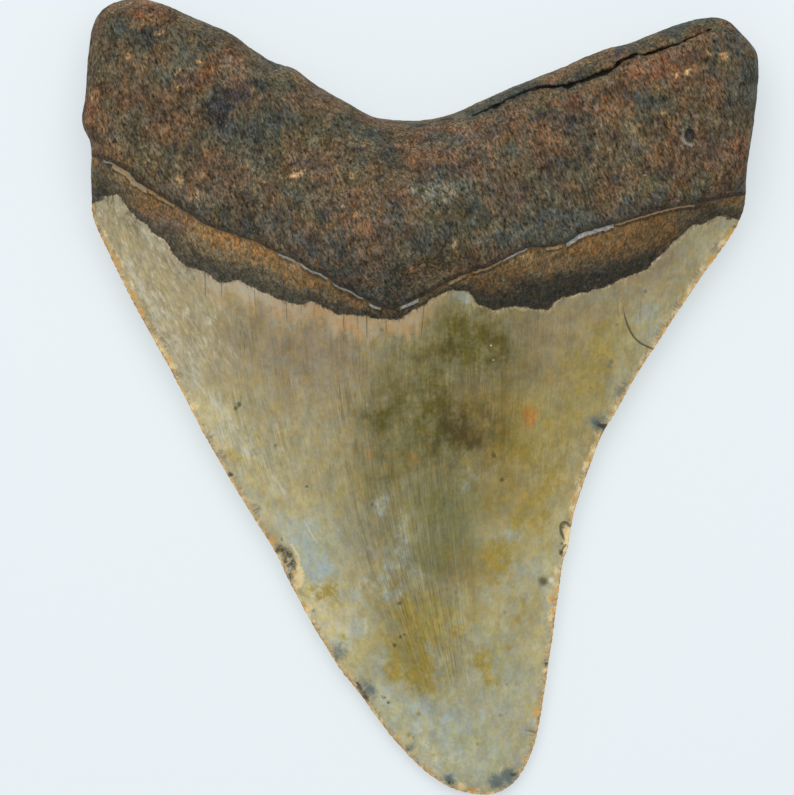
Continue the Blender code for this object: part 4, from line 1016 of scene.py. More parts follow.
# Marks along the cutting edge: the colour, where it starts and is full, how strong, and for each how
# far along the edge it lies, how far in, half its length, half its depth and its strength.
rimMarks = {
    "rimGrey": (paint(122, 118, 106), (0.3, 0.8), 0.75, [
        (25.6, 1.0, 0.6, 0.5, 0.9), (28.4, 1.2, 2.0, 0.4, 1.1), (34.6, 1.0, 0.6, 0.5, 0.8),
        (46.4, 0.9, 0.8, 0.9, 1.2), (50.2, 0.8, 1.6, 0.8, 1.1), (54.9, 0.9, 0.5, 0.5, 1.0),
        (57.0, 0.8, 0.4, 0.4, 1.1), (61.9, 1.0, 1.2, 0.9, 1.2), (64.3, 0.8, 0.4, 0.8, 1.0),
        (72.2, 1.3, 3.2, 1.3, 0.8), (74.6, 0.8, 0.8, 0.7, 1.1), (82.1, 1.1, 0.5, 0.5, 1.2),
        (85.2, 0.5, 0.5, 0.4, 0.9), (98.6, 1.2, 2.2, 1.1, 1.2), (101.6, 3.0, 0.8, 0.25, 1.2),
        (103.4, 0.8, 0.6, 0.5, 1.1), (107.2, 0.5, 0.5, 0.4, 0.8), (113.8, 0.6, 0.5, 0.4, 0.8),
        (143.0, 0.9, 0.8, 0.9, 1.3), (155.4, 0.5, 0.8, 0.5, 1.1), (160.4, 0.5, 0.6, 0.4, 0.8),
        (195.6, 0.9, 1.2, 1.0, 1.1), (199.0, 0.9, 0.5, 0.9, 1.0), (205.4, 0.9, 1.4, 1.0, 1.2),
        (217.8, 0.7, 2.0, 0.6, 0.9), (222.4, 0.9, 1.4, 0.7, 0.9), (229.0, 0.9, 1.6, 0.8, 0.9),
        (234.6, 0.8, 1.4, 0.7, 0.9), (187.6, 0.7, 2.4, 0.5, 0.9), (15.0, 0.9, 5.0, 0.5, 0.6),
    ]),
    "rimSlate": (paint(102, 116, 114), (0.15, 1.1), 0.9, [
        (90.4, 1.4, 1.6, 1.4, 0.95), (98.8, 2.0, 1.8, 0.9, 0.9), (111.6, 1.0, 0.6, 0.9, 1.0),
        (120.8, 1.1, 1.1, 1.0, 1.4), (130.2, 1.9, 1.6, 1.5, 1.4), (133.6, 1.4, 1.7, 1.5, 1.45),
        (197.8, 1.6, 1.0, 1.6, 1.4), (206.2, 0.8, 0.5, 0.7, 0.5), (101.8, 0.6, 0.5, 0.4, 0.5),
        (82.3, 1.3, 0.3, 0.4, 0.5),
    ]),
    "rimCream": (paint(232, 210, 156), (0.3, 0.75), 0.85, [
        (29.0, 0.5, 2.4, 0.4, 0.8), (32.4, 0.7, 1.2, 0.5, 0.9), (40.6, 0.8, 0.7, 0.7, 1.3),
        (69.6, 1.4, 0.25, 1.0, 0.9), (71.0, 3.0, 1.6, 0.28, 1.2), (74.0, 2.5, 1.6, 0.5, 1.1),
        (75.4, 1.6, 0.8, 0.7, 0.9), (76.6, 1.0, 0.55, 0.8, 1.3), (81.1, 0.8, 0.7, 0.6, 1.2),
        (83.4, 0.5, 0.4, 0.3, 0.8), (104.6, 0.5, 0.5, 0.3, 0.8), (123.3, 0.8, 1.0, 0.6, 1.1),
        (126.4, 0.7, 1.0, 0.5, 0.8), (133.6, 3.2, 1.4, 0.3, 0.7), (151.0, 0.5, 0.6, 0.3, 0.7),
        (154.0, 0.6, 0.5, 0.4, 0.8), (163.6, 0.7, 1.0, 0.6, 0.9), (166.4, 1.4, 1.0, 0.6, 0.7),
        (169.0, 0.6, 1.0, 0.5, 0.8), (171.6, 0.8, 0.8, 0.6, 0.9), (178.0, 0.4, 1.7, 0.5, 1.4),
        (182.6, 0.5, 1.2, 0.4, 0.8), (186.0, 0.5, 1.5, 0.4, 0.8), (190.6, 0.6, 1.4, 0.5, 0.9),
        (193.6, 0.5, 1.0, 0.5, 0.9), (202.0, 0.4, 1.0, 0.3, 0.7), (211.0, 0.6, 0.8, 0.3, 0.6),
        (221.0, 0.5, 1.0, 0.3, 0.7), (226.0, 0.6, 1.2, 0.4, 0.8), (230.4, 0.7, 1.0, 0.5, 0.9),
        (236.0, 0.5, 1.2, 0.4, 0.8), (12.0, 1.2, 2.0, 0.4, 0.7), (17.0, 1.1, 1.6, 0.4, 0.7),
        (7.0, 0.9, 1.0, 0.4, 0.6), (175.4, 0.4, 0.5, 0.3, 0.9),
    ]),
    "rimAmber": (paint(212, 160, 76), (0.3, 0.8), 0.75, [
        (8.5, 0.4, 1.4, 0.3, 0.8), (12.2, 0.5, 1.6, 0.4, 1.0), (15.5, 0.8, 0.8, 0.5, 0.8),
        (18.6, 0.5, 1.2, 0.3, 1.0), (22.0, 0.5, 1.4, 0.4, 0.9), (31.4, 0.8, 0.8, 0.4, 0.9),
        (38.0, 0.2, 1.0, 0.2, 0.8), (54.9, 0.1, 0.5, 0.25, 1.4), (67.7, 0.4, 0.6, 0.5, 1.3),
        (72.0, 1.4, 0.5, 0.4, 1.0), (69.8, 1.2, 0.3, 0.3, 0.9), (74.6, 1.3, 0.3, 0.5, 1.0),
        (65.6, 0.3, 0.5, 0.25, 0.8), (72.6, 2.7, 0.8, 0.2, 0.7), (75.8, 0.8, 0.3, 0.5, 0.7),
        (80.4, 0.3, 0.8, 0.2, 0.9), (95.0, 0.3, 0.8, 0.2, 0.8), (109.0, 0.4, 0.6, 0.25, 0.8),
        (117.0, 0.4, 0.8, 0.25, 0.8), (122.6, 0.5, 0.6, 0.4, 0.9), (125.4, 0.7, 0.9, 0.4, 1.4),
        (128.0, 0.3, 1.0, 0.2, 0.8), (138.2, 0.8, 0.5, 0.7, 0.8), (146.8, 0.8, 0.6, 0.6, 1.4),
        (164.6, 0.4, 0.8, 0.3, 0.9), (166.7, 1.0, 0.6, 0.6, 1.3), (168.4, 0.3, 0.6, 0.3, 0.9),
        (170.6, 0.3, 0.6, 0.2, 0.9), (181.4, 0.3, 0.6, 0.3, 0.9), (184.4, 0.6, 0.6, 0.4, 0.8),
        (188.0, 0.4, 0.7, 0.3, 0.9), (191.8, 0.6, 0.6, 0.5, 1.0), (195.4, 0.4, 0.6, 0.3, 0.9),
        (200.6, 0.4, 0.6, 0.3, 0.8), (217.8, 0.3, 0.8, 0.3, 0.9), (224.0, 0.3, 0.8, 0.25, 0.8),
        (228.2, 0.4, 0.8, 0.3, 0.9), (232.6, 0.5, 1.0, 0.5, 1.1), (238.0, 0.3, 1.2, 0.3, 1.1),
        (157.6, 0.3, 0.6, 0.2, 0.7), (149.0, 0.3, 0.8, 0.2, 0.7), (43.6, 0.3, 0.8, 0.2, 0.7),
    ]),
    "rimUmber": (paint(68, 60, 46), (0.4, 0.9), 0.85, [
        (0.3, 0.9, 0.4, 1.2, 1.4), (5.6, 0.3, 0.3, 0.25, 0.9), (24.2, 1.8, 0.22, 0.2, 1.0),
        (28.0, 1.4, 1.4, 0.12, 0.9), (54.2, 0.5, 0.4, 0.5, 1.4), (57.0, 0.9, 0.2, 0.22, 1.2),
        (68.2, 2.1, 0.3, 0.3, 1.1), (69.6, 0.6, 0.6, 0.7, 1.0), (71.4, 0.7, 1.3, 0.6, 0.8),
        (70.4, 1.8, 1.2, 0.6, 0.8), (73.4, 1.3, 1.1, 0.7, 0.75), (72.4, 2.2, 1.2, 0.4, 0.8),
        (74.9, 0.5, 0.7, 0.35, 1.0), (75.3, 1.9, 0.12, 0.6, 1.0), (91.0, 0.4, 0.9, 0.35, 1.1),
        (89.0, 1.2, 0.2, 0.3, 0.8), (97.6, 0.6, 0.9, 0.5, 1.3), (99.6, 0.5, 0.9, 0.4, 1.3),
        (111.7, 0.5, 0.4, 0.3, 1.0), (121.2, 0.6, 0.7, 0.4, 1.0), (126.6, 1.1, 1.4, 0.14, 0.9),
        (132.0, 0.3, 3.0, 0.14, 0.8), (134.3, 0.9, 0.5, 0.5, 0.8), (138.4, 1.3, 0.3, 0.2, 0.7),
        (155.2, 0.3, 0.3, 0.2, 1.0), (174.6, 0.8, 0.6, 0.35, 1.3), (176.4, 1.0, 0.7, 0.16, 1.2),
        (197.8, 0.8, 0.35, 1.1, 1.6), (198.2, 0.3, 0.8, 0.3, 1.1), (205.1, 0.5, 0.15, 0.4, 1.0),
        (179.4, 1.2, 0.5, 0.3, 1.1), (240.6, 2.4, 0.5, 1.0, 1.2), (36.2, 0.2, 0.4, 0.15, 0.8),
        (86.0, 0.3, 0.3, 0.2, 0.8), (167.0, 0.9, 0.15, 0.4, 0.8),
    ]),
}


def falling(across, height):  # how a patch fades from its middle, both counted in half widths
    return np.exp(-0.9 * (across**2 + height**2))


def rimFields(edge):  # how strongly each of them is felt; they follow slightly wandering lines
    places = [Vector((run / 0.8, gap / 0.8, 6.0)) for run, gap in zip(edge.run, edge.gap)]
    shift = np.array([noise.noise_vector(place)[:2] for place in places])
    shift *= np.clip(edge.gap, 0.0, 1.0)[:, None]
    run = edge.run + shift[:, 0] * 0.35
    gap = edge.gap + shift[:, 1] * 0.25
    fields = {}
    for name, (_, _, _, rows) in rimMarks.items():
        fields[name] = np.zeros(len(run))
        for middle, inset, long, deep, strength in rows:
            fields[name] += strength * falling((run - middle) / long, (gap - inset) / deep)
    return fields


def wobbled(points):  # patches follow these points, so none of them is a plain oval
    for size, reach in ((9.0, 2.2), (3.2, 1.3), (1.3, 0.6)):
        shift = [noise.noise_vector(Vector((x / size, y / size, size)))[:2] for x, y in points]
        points = points + np.array(shift) * reach
    return points


def stainFields(points, up):  # how strongly each stain is felt at each point
    fields = {}
    shifted = wobbled(points)
    for stains in (enamelStains, bandStains, rootStains):
        for name, (_, _, _, _, rows) in stains.items():
            field = np.zeros(len(points))
            for x, y, wide, high, lean, strength in rows if up or stains is enamelStains else ():
                turn = math.radians(lean)
                away = shifted - wobbled(np.array([[x, y]]))
                across = away[:, 0] * math.cos(turn) + away[:, 1] * math.sin(turn)
                height = away[:, 1] * math.cos(turn) - away[:, 0] * math.sin(turn)
                field += strength * falling(across / wide, height / high)
            fields[name] = field
    return fields


def layStains(b, colour, stains, marks, clouds, crumbs):  # soft washes first, then the broken patches
    for i, (name, (tone, rough, edge, strength, _)) in enumerate(stains.items()):
        broken = (clouds if rough < 0.5 else crumbs)[i % 3]
        field = marks(name) * broken.climb(0.35, 0.65, 1.0 - rough, 1.0 + rough)
        colour = b.blend(field.climb(*edge) * strength, colour, tone)
    return colour


def grainWithPaintedShade(b, colour, spot, reach):  # fine fibres, paler or darker but hardly coloured: the grain's own tone together with painted light and shade of its fine relief
    fibre = b.speckle(spot, 0.42, 1.5, 0.9)
    stops = [
        (0.26, (0.5 - reach, 0.5 - reach, 0.5 - reach * 1.2, 1.0)), (0.5, grey(0.5)),
        (0.74, (0.5 + reach, 0.5 + reach, 0.5 + reach * 1.5, 1.0)),
    ]
    colour = b.overlay(1.0, colour, b.node("ShaderNodeValToRGB", {"stops": stops}, {"Fac": fibre}))
    return colour, fibre


def rootColour(b, spot, marks, clouds, crumbs):
    fibre = b.fibres(spot)
    stops = [
        (0.34, paint(68, 70, 64)), (0.44, paint(80, 75, 60)), (0.52, paint(89, 77, 60)),
        (0.6, paint(96, 77, 60)), (0.7, paint(78, 74, 66)),
    ]
    broad = b.speckle(spot, 10.0, 2.0)
    colour = b.node("ShaderNodeValToRGB", {"stops": stops}, {"Fac": broad})
    colour = layStains(b, colour, rootStains, marks, clouds, crumbs)
    warm, dark, green = clouds
    tint = b.blend(warm.rise(0.36, 0.66), (0.475, 0.5, 0.53, 1.0), (0.57, 0.5, 0.42, 1.0))
    colour = b.overlay(1.0, colour, tint)
    tint = b.blend(green.rise(0.45, 0.7), grey(0.5), (0.52, 0.55, 0.42, 1.0))
    colour = b.overlay(0.6, colour, tint)
    colour = b.overlay(1.0, colour, dark.rise(0.3, 0.7, 0.26, 0.7))
    # painted light and shade: the fleck overlay, pale to near black, stands in for the lit and shaded faces
    # of the root's fine relief, along with its own flecks
    fleck, hue, other = b.threeNoises(fibre, 0.8, 3.0, 0.95)
    stops = [
        (0.3, (0.28, 0.3, 0.30, 1.0)), (0.42, grey(0.42)), (0.52, grey(0.5)),
        (0.62, (0.66, 0.63, 0.6, 1.0)), (0.72, (0.9, 0.86, 0.82, 1.0)),
    ]
    colour = b.overlay(1.0, colour, b.node("ShaderNodeValToRGB", {"stops": stops}, {"Fac": fleck}))
    stops = [
        (0.34, (0.42, 0.49, 0.6, 1.0)), (0.44, (0.49, 0.51, 0.49, 1.0)), (0.52, (0.49, 0.49, 0.47, 1.0)),
        (0.58, (0.56, 0.51, 0.42, 1.0)), (0.68, (0.74, 0.53, 0.36, 1.0)),
    ]
    colour = b.overlay(1.0, colour, b.node("ShaderNodeValToRGB", {"stops": stops}, {"Fac": hue}))
    colour, fine = grainWithPaintedShade(b, colour, fibre, 0.46)
    # painted highlights: pale glints on grains, some of them the root's own orange-tan flecks; dark specks,
    # partly the root's dark grains and partly painted shade in the pits between them
    spark = crumbs[0] * 0.4 + other * 0.6
    bright = spark.rise(0.57, 0.64) * warm.rise(0.38, 0.58)
    glint = b.blend(hue.rise(0.4, 0.6), paint(170, 160, 140), paint(176, 120, 70))
    colour = b.blend(bright * 0.6, colour, glint)
    colour = b.blend(spark.rise(0.43, 0.36) * 0.5, colour, paint(36, 38, 40))
    side = marks("rootSide")
    # painted shade: a dark line just above the root's border, in the groove along the ledge
    colour = b.blend(side.rise(0.9, 0.35) * side.rise(-0.05, 0.2) * 0.7, colour, paint(38, 36, 32))
    # painted light: paler within about 1.6 mm of the root's rim, lifting the shade that falls on its rounded
    # edge
    colour = b.overlay((marks("rimGap") + (other - 0.5) * 1.5).rise(1.6, 0.2), colour, 0.62)
    # painted shade: near black deep in the split under the right lobe's border
    gap = (marks("split") + (fleck - 0.5) * 1.4).rise(0.3, 0.75) * clouds[0].rise(0.3, 0.5, 0.5, 1.0)
    colour = b.blend(gap, colour, paint(16, 17, 18))
    # painted shade inside the pit, and a painted highlight on its lower left wall, the side that faces the
    # light
    colour = b.blend((marks("pit") + (other - 0.5) * 1.2).rise(0.1, 0.6) * 0.75, colour, paint(38, 40, 44))
    lip = (marks("pitRim") + (fleck - 0.5) * 2.0).rise(0.4, 1.1)
    colour = b.blend(lip * 0.7, colour, paint(142, 140, 132))
    return colour, fine


def bandColour(b, spot, marks, clouds, crumbs):
    low = marks("enamelSide")
    part = low / (low - marks("rootSide")).most(0.05)  # 0 beside the enamel, 1 beside the root
    upright = spot * (1.0, 0.5, 1.0)
    part = part + (clouds[2] - 0.5) * 1.2
    stops = [
        (0.0, paint(72, 68, 58)), (0.25, paint(78, 72, 58)), (0.5, paint(106, 92, 68)),
        (0.75, paint(120, 98, 66)), (1.0, paint(126, 103, 70)),
    ]
    colour = b.node("ShaderNodeValToRGB", {"stops": stops}, {"Fac": part})
    colour = layStains(b, colour, bandStains, marks, clouds, crumbs)
    colour = b.overlay(1.0, colour, clouds[1].rise(0.3, 0.7, 0.44, 0.57))
    x = b.node("ShaderNodeSeparateXYZ", None, {"Vector": spot}, "X")
    colour = b.overlay(1.0, colour, x.rise(-12.0, -22.0, 0.43, 0.63))
    grain, hue, _ = b.threeNoises(upright, 0.9, 3.0, 0.9)
    colour = b.overlay(1.0, colour, grain.rise(0.3, 0.7, 0.32, 0.7))
    stops = [
        (0.34, (0.4, 0.49, 0.64, 1.0)), (0.48, (0.49, 0.5, 0.48, 1.0)), (0.56, (0.54, 0.5, 0.43, 1.0)),
        (0.66, (0.74, 0.54, 0.36, 1.0)),
    ]
    colour = b.overlay(1.0, colour, b.node("ShaderNodeValToRGB", {"stops": stops}, {"Fac": hue}))
    colour, fine = grainWithPaintedShade(b, colour, upright, 0.32)
    # painted shade: darker within half a millimetre of the enamel's border, at the foot of the step where
    # the enamel stands proud
    colour = b.blend(low.rise(0.5, 0.0) * 0.5, colour, paint(42, 40, 34))
    strip = marks("strip") + (grain - 0.5) * 1.8 + (fine - 0.5) * 1.0
    chalk = b.blend(fine.rise(0.4, 0.6), paint(206, 206, 200), paint(150, 150, 144))
    tan = b.blend(fine.rise(0.4, 0.6), paint(164, 130, 84), paint(192, 164, 122))
    tone = b.blend(marks("stripTone").rise(0.3, 0.7), chalk, tan)
    colour = b.blend(marks("stripShade").rise(0.2, 0.8) * 0.5, colour, paint(46, 41, 34))
    return b.blend(strip.rise(0.35, 0.75) * 0.9, colour, tone)


def enamelColour(b, spot, marks, clouds, crumbs):
    x = b.node("ShaderNodeSeparateXYZ", None, {"Vector": spot}, "X")
    y = x.part("Y")
    colour = layStains(b, enamelBase, enamelStains, marks, clouds, crumbs)

    # growth lines: long thin dark threads, closer together towards the tip
    lines = b.node("ShaderNodeCombineXYZ", None, {"X": marks("across"), "Y": y * 0.05})
    wide = b.speckle(lines, 1.6, 3.0, 0.6)
    fine = b.speckle(lines * (1.0, 1.5, 1.0), 0.5, 3.0, 0.75)
    region = b.speckle(spot + (40.0, 0.0, 0.0), 9.0, 2.0).rise(0.35, 0.6, 0.3, 1.0)
    middle = x.rise(-42.0, -30.0, 0.3, 1.0) * x.rise(22.0, 10.0, 0.45, 1.0)
    across = marks("across")
    upper = y.rise(-24.0, -6.0)
    lower = across.rise(-38.0, -26.0) * across.rise(0.0, -10.0) * y.rise(-58.0, -46.0)
    depth = (region * upper + lower * (1.0 - upper)) * middle
    thin = b.blend(fine.rise(0.32, 0.68), (0.4, 0.4, 0.36, 1.0), (0.545, 0.545, 0.58, 1.0))
    colour = b.overlay(depth, colour, thin)
    colour = b.overlay(depth * 0.8, colour, wide.rise(0.3, 0.7, 0.45, 0.53))
    thread = (wide - 0.5).size().rise(0.02, 0.0) * fine.rise(0.38, 0.55)
    colour = b.blend(thread * depth * 0.6, colour, paint(76, 72, 48))
    mottle, hue, _ = b.threeNoises(spot * (1.0, 0.7, 1.0), 2.2, 3.0, 0.9)
    colour = b.overlay(1.0, colour, mottle.rise(0.3, 0.7, 0.43, 0.57))
    colour = b.overlay(1.0, colour, clouds[0].rise(0.32, 0.68, 0.455, 0.545))
    patchy = b.blend(clouds[2].climb(0.44, 0.56), (0.515, 0.505, 0.45, 1.0), (0.49, 0.5, 0.54, 1.0))
    colour = b.overlay(y.rise(-22.0, -34.0), colour, patchy)
    tint = b.blend(hue.rise(0.33, 0.67), (0.535, 0.5, 0.4, 1.0), (0.465, 0.5, 0.585, 1.0))
    colour = b.overlay(1.0, colour, tint)

    # peach beside the upper border, over a paler cream line
    side = marks("enamelSide")
    top = (side + (wide - 0.5) * 6.0 + (mottle - 0.5) * 4.0).rise(-4.4, -0.8)
    reach = x.rise(-44.0, -34.0) * x.rise(4.0, -2.0)
    peach = b.blend(hue.rise(0.4, 0.6), paint(198, 154, 104), paint(186, 168, 136))
    colour = b.blend(top * reach * 0.7, colour, peach)
    pale = (side + (wide - 0.5) * 4.0 + (mottle - 0.5) * 4.0).rise(-2.6, -0.4)
    colour = b.blend(pale * x.rise(-18.0, -30.0) * 0.6, colour, paint(190, 186, 166))
    rim = (side + (mottle - 0.5) * 3.0 + (fine - 0.5) * 1.5).rise(-0.8, -0.1)
    cream = b.blend(hue.rise(0.42, 0.6), paint(196, 182, 146), paint(176, 136, 88))
    colour = b.blend(rim * 0.55, colour, cream)
    # painted shade: a dark line along the enamel's edge, where it steps down to the band
    colour = b.blend((side + (fine - 0.5) * 2.4).rise(-0.55, 0.1) * 0.6, colour, paint(70, 62, 46))

    # paler towards the edges, more on the left: painted light on the bevels; the left wing is paler again,
    # partly its own greyish cream and partly painted light; pale scratches run along the edges there, dark
    # ones beside the band
    gap = marks("edgeGap")
    colour = b.overlay(gap.rise(9.0, 1.0) * x.rise(30.0, -10.0, 0.5, 1.0) * y.rise(10.0, -4.0), colour, 0.57)
    run = b.node("ShaderNodeCombineXYZ", None, {"X": gap, "Y": marks("edgeRun") * 0.3})
    swirl, scratch, _ = b.threeNoises(run, 1.7, 3.0, 0.9)
    fine2 = b.speckle(run * (1.0, 0.8, 1.0), 0.5, 2.0, 0.8)
    wing = gap.rise(16.0, 9.0) * x.rise(-27.0, -36.0) * y.rise(-2.0, 8.0)
    colour = b.blend(wing * 0.5, colour, paint(168, 151, 117))
    colour = b.overlay(wing, colour, swirl.rise(0.32, 0.68, 0.435, 0.565))
    colour = b.blend(wing * scratch.rise(0.53, 0.66) * 0.6, colour, paint(204, 196, 168))
    colour = b.overlay(wing, colour, fine2.rise(0.28, 0.72, 0.4, 0.6))
    fringe = (side + (fine2 - 0.5) * 3.0).rise(-4.0, -0.4) * wing
    colour = b.blend(fringe * scratch.rise(0.48, 0.38) * 0.65, colour, paint(88, 78, 58))
    # painted highlight: a pale line along the crease where the left bevel meets the face
    crease = marks("crease") * swirl.rise(0.36, 0.6) * y.rise(-3.0, 8.0, 1.0, 0.6)
    colour = b.blend(crease.rise(0.1, 0.9) * 0.7, colour, paint(204, 199, 178))

    flat = spot * (1.0, 1.0, 0.0)
    jitter = (mottle - 0.5) * 0.9
    for tone, strength, places in specks.values():
        found = None
        for px, py, radius in places:
            ends = {0: flat, 1: (px, py, 0.0)}
            away = b.node("ShaderNodeVectorMath", {"operation": "DISTANCE"}, ends, "Value")
            mask = (away + jitter).rise(radius * 1.6, radius * 0.3)
            found = mask if found is None else found.most(mask)
        colour = b.blend(found * marks("faceUp") * strength, colour, tone)
    return colour, fine


def edgeColour(b, colour, spot, marks, clouds):  # the golden cutting edge, its serrations and the chips
    gap = marks("edgeGap")
    vary, other, _ = clouds
    fine, hue, grit = b.threeNoises(spot, 0.9, 3.0, 0.8)
    flow = b.node("ShaderNodeCombineXYZ", None, {"X": marks("edgeRun"), "Y": gap * 0.5})
    cut, patch, _ = b.threeNoises(flow, 1.3, 2.0, 0.8)
    blotch = (gap + (fine - 0.5) * 3.0).rise(1.9, 0.6) * vary.rise(0.48, 0.6)
    warmth = b.blend(hue.rise(0.42, 0.58), paint(202, 164, 104), paint(212, 198, 160))
    colour = b.blend(blotch * 0.6, colour, warmth)
    pale = (gap + (grit - 0.5) * 1.6).rise(1.2, 0.4) * other.rise(0.4, 0.6)
    colour = b.blend(pale * 0.5, colour, paint(206, 194, 156))
    notch = (cut - 0.5).size().rise(0.03, 0.0) * (gap + (grit - 0.5) * 1.2).rise(1.5, 0.3)
    colour = b.blend(notch * 0.5, colour, paint(110, 92, 70))
    stops = [
        (0.38, paint(132, 92, 50)), (0.45, paint(172, 130, 72)), (0.52, paint(196, 154, 90)),
        (0.58, paint(208, 178, 122)), (0.64, paint(216, 200, 158)),
    ]
    golden = b.node("ShaderNodeValToRGB", {"stops": stops}, {"Fac": patch * 0.6 + hue * 0.4})
    line = (gap + (cut - 0.5) * 0.8 + (grit - 0.5) * 0.4).rise(0.46, 0.14)
    colour = b.blend(line * 0.85, colour, golden)
    broken = (grit - 0.5) * 1.6 + (fine - 0.5) * 1.4
    strokes = b.speckle(flow * (3.0, 0.5, 1.0), 1.0, 2.0, 0.6).rise(0.44, 0.56)
    for name, (tone, edge, strength, _) in rimMarks.items():
        field = marks(name)
        mask = (field + broken * field.rise(0.0, 0.4)).climb(*edge)
        colour = b.blend((mask * strokes if name == "rimGrey" else mask) * strength, colour, tone)
    return colour


finish = {
    "cloudSize": 3.3,  # millimetres
    "crumbSize": 1.4,
    "noiseStretch": (1.0, 0.8, 1.0),
    "fraySize": 0.55,
    "frayReach": 0.9,
    "rootRoughness": 0.8,
    "enamelRoughness": 0.45,
    "specular": 0.2,
    "bump": {"Strength": 0.6, "Distance": 0.0003},
    "enamelBump": 0.12,
    "rootBump": 0.9,
}


def toothMaterial(middle):
    material = bpy.data.materials.new("fossilTooth")
    material.use_nodes = True
    tree = material.node_tree
    tree.nodes.remove(tree.nodes["Principled BSDF"])
    b = Bench(tree)
    spot = b.node("ShaderNodeTexCoord", None, None, "Object") * 1000.0 + (middle[0], middle[1], 0.0)
    found = {}

    def marks(name):
        if name not in found:
            found[name] = b.node("ShaderNodeAttribute", {"attribute_name": name}, None, "Fac")
        return found[name]

    clouds = b.threeNoises(spot * finish["noiseStretch"], finish["cloudSize"], 3.0, 0.85)
    crumbs = b.threeNoises(spot * finish["noiseStretch"], finish["crumbSize"], 3.0, 0.85)
    root, rootGrain = rootColour(b, spot, marks, clouds, crumbs)
    band = bandColour(b, spot, marks, clouds, crumbs)
    enamel, streaks = enamelColour(b, spot, marks, clouds, crumbs)
    enamel = edgeColour(b, enamel, spot, marks, clouds)
    fray = (b.speckle(spot, finish["fraySize"], 2.0, 0.75) - 0.5) * finish["frayReach"]
    isRoot = (marks("rootSide") + fray * 0.4).rise(-0.08, 0.08)
    isEnamel = (marks("enamelSide") + fray).rise(0.1, -0.1)
    crack = marks("crack").rise(0.15, 0.9) * 0.75

    def finished(colour, roughness, height):
        bump = b.node("ShaderNodeBump", None, finish["bump"] | {"Height": height})
        colour = b.blend(crack, colour, paint(58, 54, 44))
        sockets = {"Base Color": colour, "Roughness": roughness, "Normal": bump}
        sockets["Specular IOR Level"] = finish["specular"]
        return b.node("ShaderNodeBsdfPrincipled", None, sockets)

    # mixed as shaders, so that only the one that shows is worked out at each point
    grain = rootGrain * finish["rootBump"]
    dull = finished(band, finish["rootRoughness"], grain)
    glossy = finished(enamel, finish["enamelRoughness"], streaks * finish["enamelBump"])
    blade = b.node("ShaderNodeMixShader", None, {0: isEnamel, 1: dull, 2: glossy})
    stony = finished(root, finish["rootRoughness"], grain)
    whole = b.node("ShaderNodeMixShader", None, {0: isRoot, 1: blade, 2: stony})
    b.feed(tree.nodes["Material Output"].inputs["Surface"], whole)
    return material


def makeTooth():
    data, middle = bareTooth(Sketch())
    print(f"bare tooth: {len(data.polygons)} faces")
    tooth = bpy.data.objects.new("toothSurface", data)
    bpy.context.scene.collection.objects.link(tooth)
    tree = reliefTree()
    modifier = tooth.modifiers.new("relief", "NODES")
    modifier.node_group = tree
    chosen = reliefSizes | {"Finish": toothMaterial(middle)}
    for item in tree.interface.items_tree:
        if item.in_out == "INPUT" and item.name in chosen:
            modifier[item.identifier] = chosen[item.name]
    graph = bpy.context.evaluated_depsgraph_get()
    solid = bpy.data.meshes.new_from_object(
        tooth.evaluated_get(graph), preserve_all_data_layers=True, depsgraph=graph
    )
    tooth.modifiers.remove(modifier)
    tooth.data = solid
    solid.name = "toothSurface"
    count = sum(len(face.vertices) - 2 for face in solid.polygons)
    print(f"tooth surface: {count} triangles, materials {[m.name for m in solid.materials]}")
    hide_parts("tooth")
    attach(tooth, "root")
    return tooth, middle


studio = {
    "cameraHeight": 1.6,
    "cameraReach": 10.0,
    "sensorWidth": 24.0,
    "frameHeight": 0.13865,  # what the camera sees from top to bottom, at the middle of the tooth
    "frameCentre": (-4.19, -0.09),  # sketch millimetres
    "focusHeight": 0.005,
    "lampPower": 14.5,
    "lampSize": 1.3,
    "lampPlace": (-0.05, 0.55, 1.05),
    "skyColour": (0.95, 0.98, 1.0, 1.0),
    "skyStrength": 0.42,
    "floorHalf": 3.0,
    "floorColour": (0.32, 0.335, 0.345, 1.0),
    "floorRoughness": 0.9,
    "floorSpecular": 0.1,
    "floorGlow": (0.86, 0.94, 0.98, 1.0),  # a sheet lit from below, as on a light table
    "floorGlowStrength": 0.56,
}


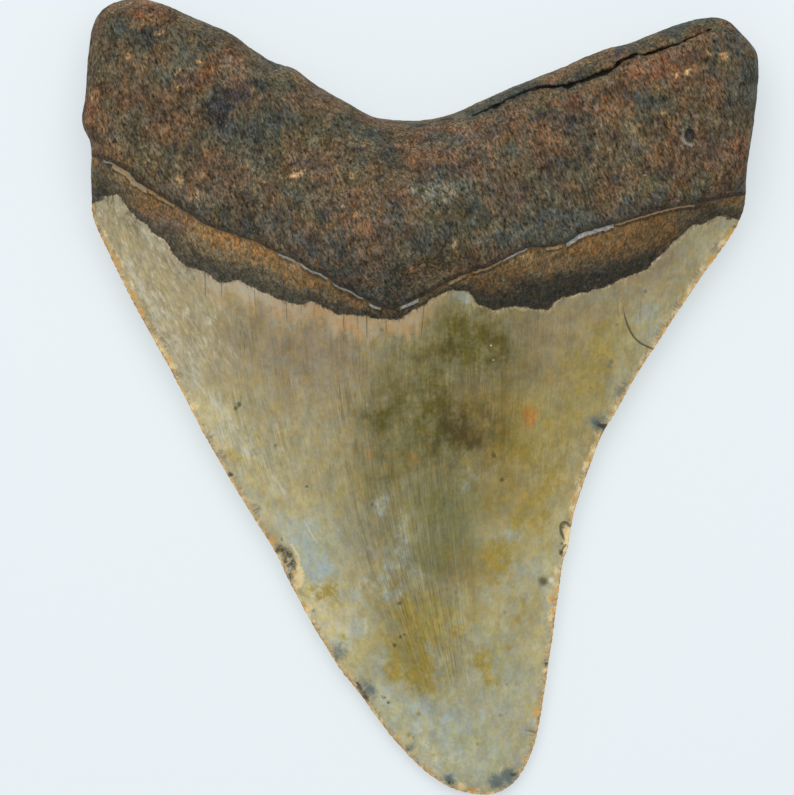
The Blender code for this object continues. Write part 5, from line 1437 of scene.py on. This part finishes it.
def makeStudio(middle):
    scene = bpy.context.scene
    scene.view_settings.view_transform = "Standard"
    floorMesh = bpy.data.meshes.new("floor")
    half = studio["floorHalf"]
    corners = [(-half, -half, 0.0), (half, -half, 0.0), (half, half, 0.0), (-half, half, 0.0)]
    floorMesh.from_pydata(corners, [], [(0, 1, 2, 3)])
    floor = bpy.data.objects.new("floor", floorMesh)
    scene.collection.objects.link(floor)
    paper = bpy.data.materials.new("palePaper")
    paper.use_nodes = True
    shader = paper.node_tree.nodes["Principled BSDF"]
    shader.inputs["Base Color"].default_value = studio["floorColour"]
    shader.inputs["Roughness"].default_value = studio["floorRoughness"]
    shader.inputs["Specular IOR Level"].default_value = studio["floorSpecular"]
    shader.inputs["Emission Color"].default_value = studio["floorGlow"]
    shader.inputs["Emission Strength"].default_value = studio["floorGlowStrength"]
    floorMesh.materials.append(paper)

    world = bpy.data.worlds.new("softRoom")
    world.use_nodes = True
    sky = world.node_tree.nodes["Background"]
    sky.inputs["Color"].default_value = studio["skyColour"]
    sky.inputs["Strength"].default_value = studio["skyStrength"]
    scene.world = world

    lamp = bpy.data.lights.new("overheadSoftbox", "AREA")
    lamp.size = studio["lampSize"]
    lamp.energy = studio["lampPower"]
    lampObject = bpy.data.objects.new("overheadSoftbox", lamp)
    lampObject.location = studio["lampPlace"]
    lampObject.rotation_euler = (-Vector(studio["lampPlace"])).to_track_quat("-Z", "Y").to_euler()
    scene.collection.objects.link(lampObject)

    cameraData = bpy.data.cameras.new("camera")
    cameraData.sensor_width = studio["sensorWidth"]
    away = studio["cameraHeight"] - studio["focusHeight"]
    cameraData.lens = studio["sensorWidth"] * away / studio["frameHeight"]
    cameraData.clip_end = studio["cameraReach"]
    camera = bpy.data.objects.new("camera", cameraData)
    x = (studio["frameCentre"][0] - middle[0]) * 0.001
    y = (studio["frameCentre"][1] - middle[1]) * 0.001
    camera.location = (x, y, studio["cameraHeight"])
    scene.collection.objects.link(camera)
    scene.camera = camera
    print("studio: floor, sky, lamp and camera")


tooth, sketchMiddle = makeTooth()
makeStudio(sketchMiddle)
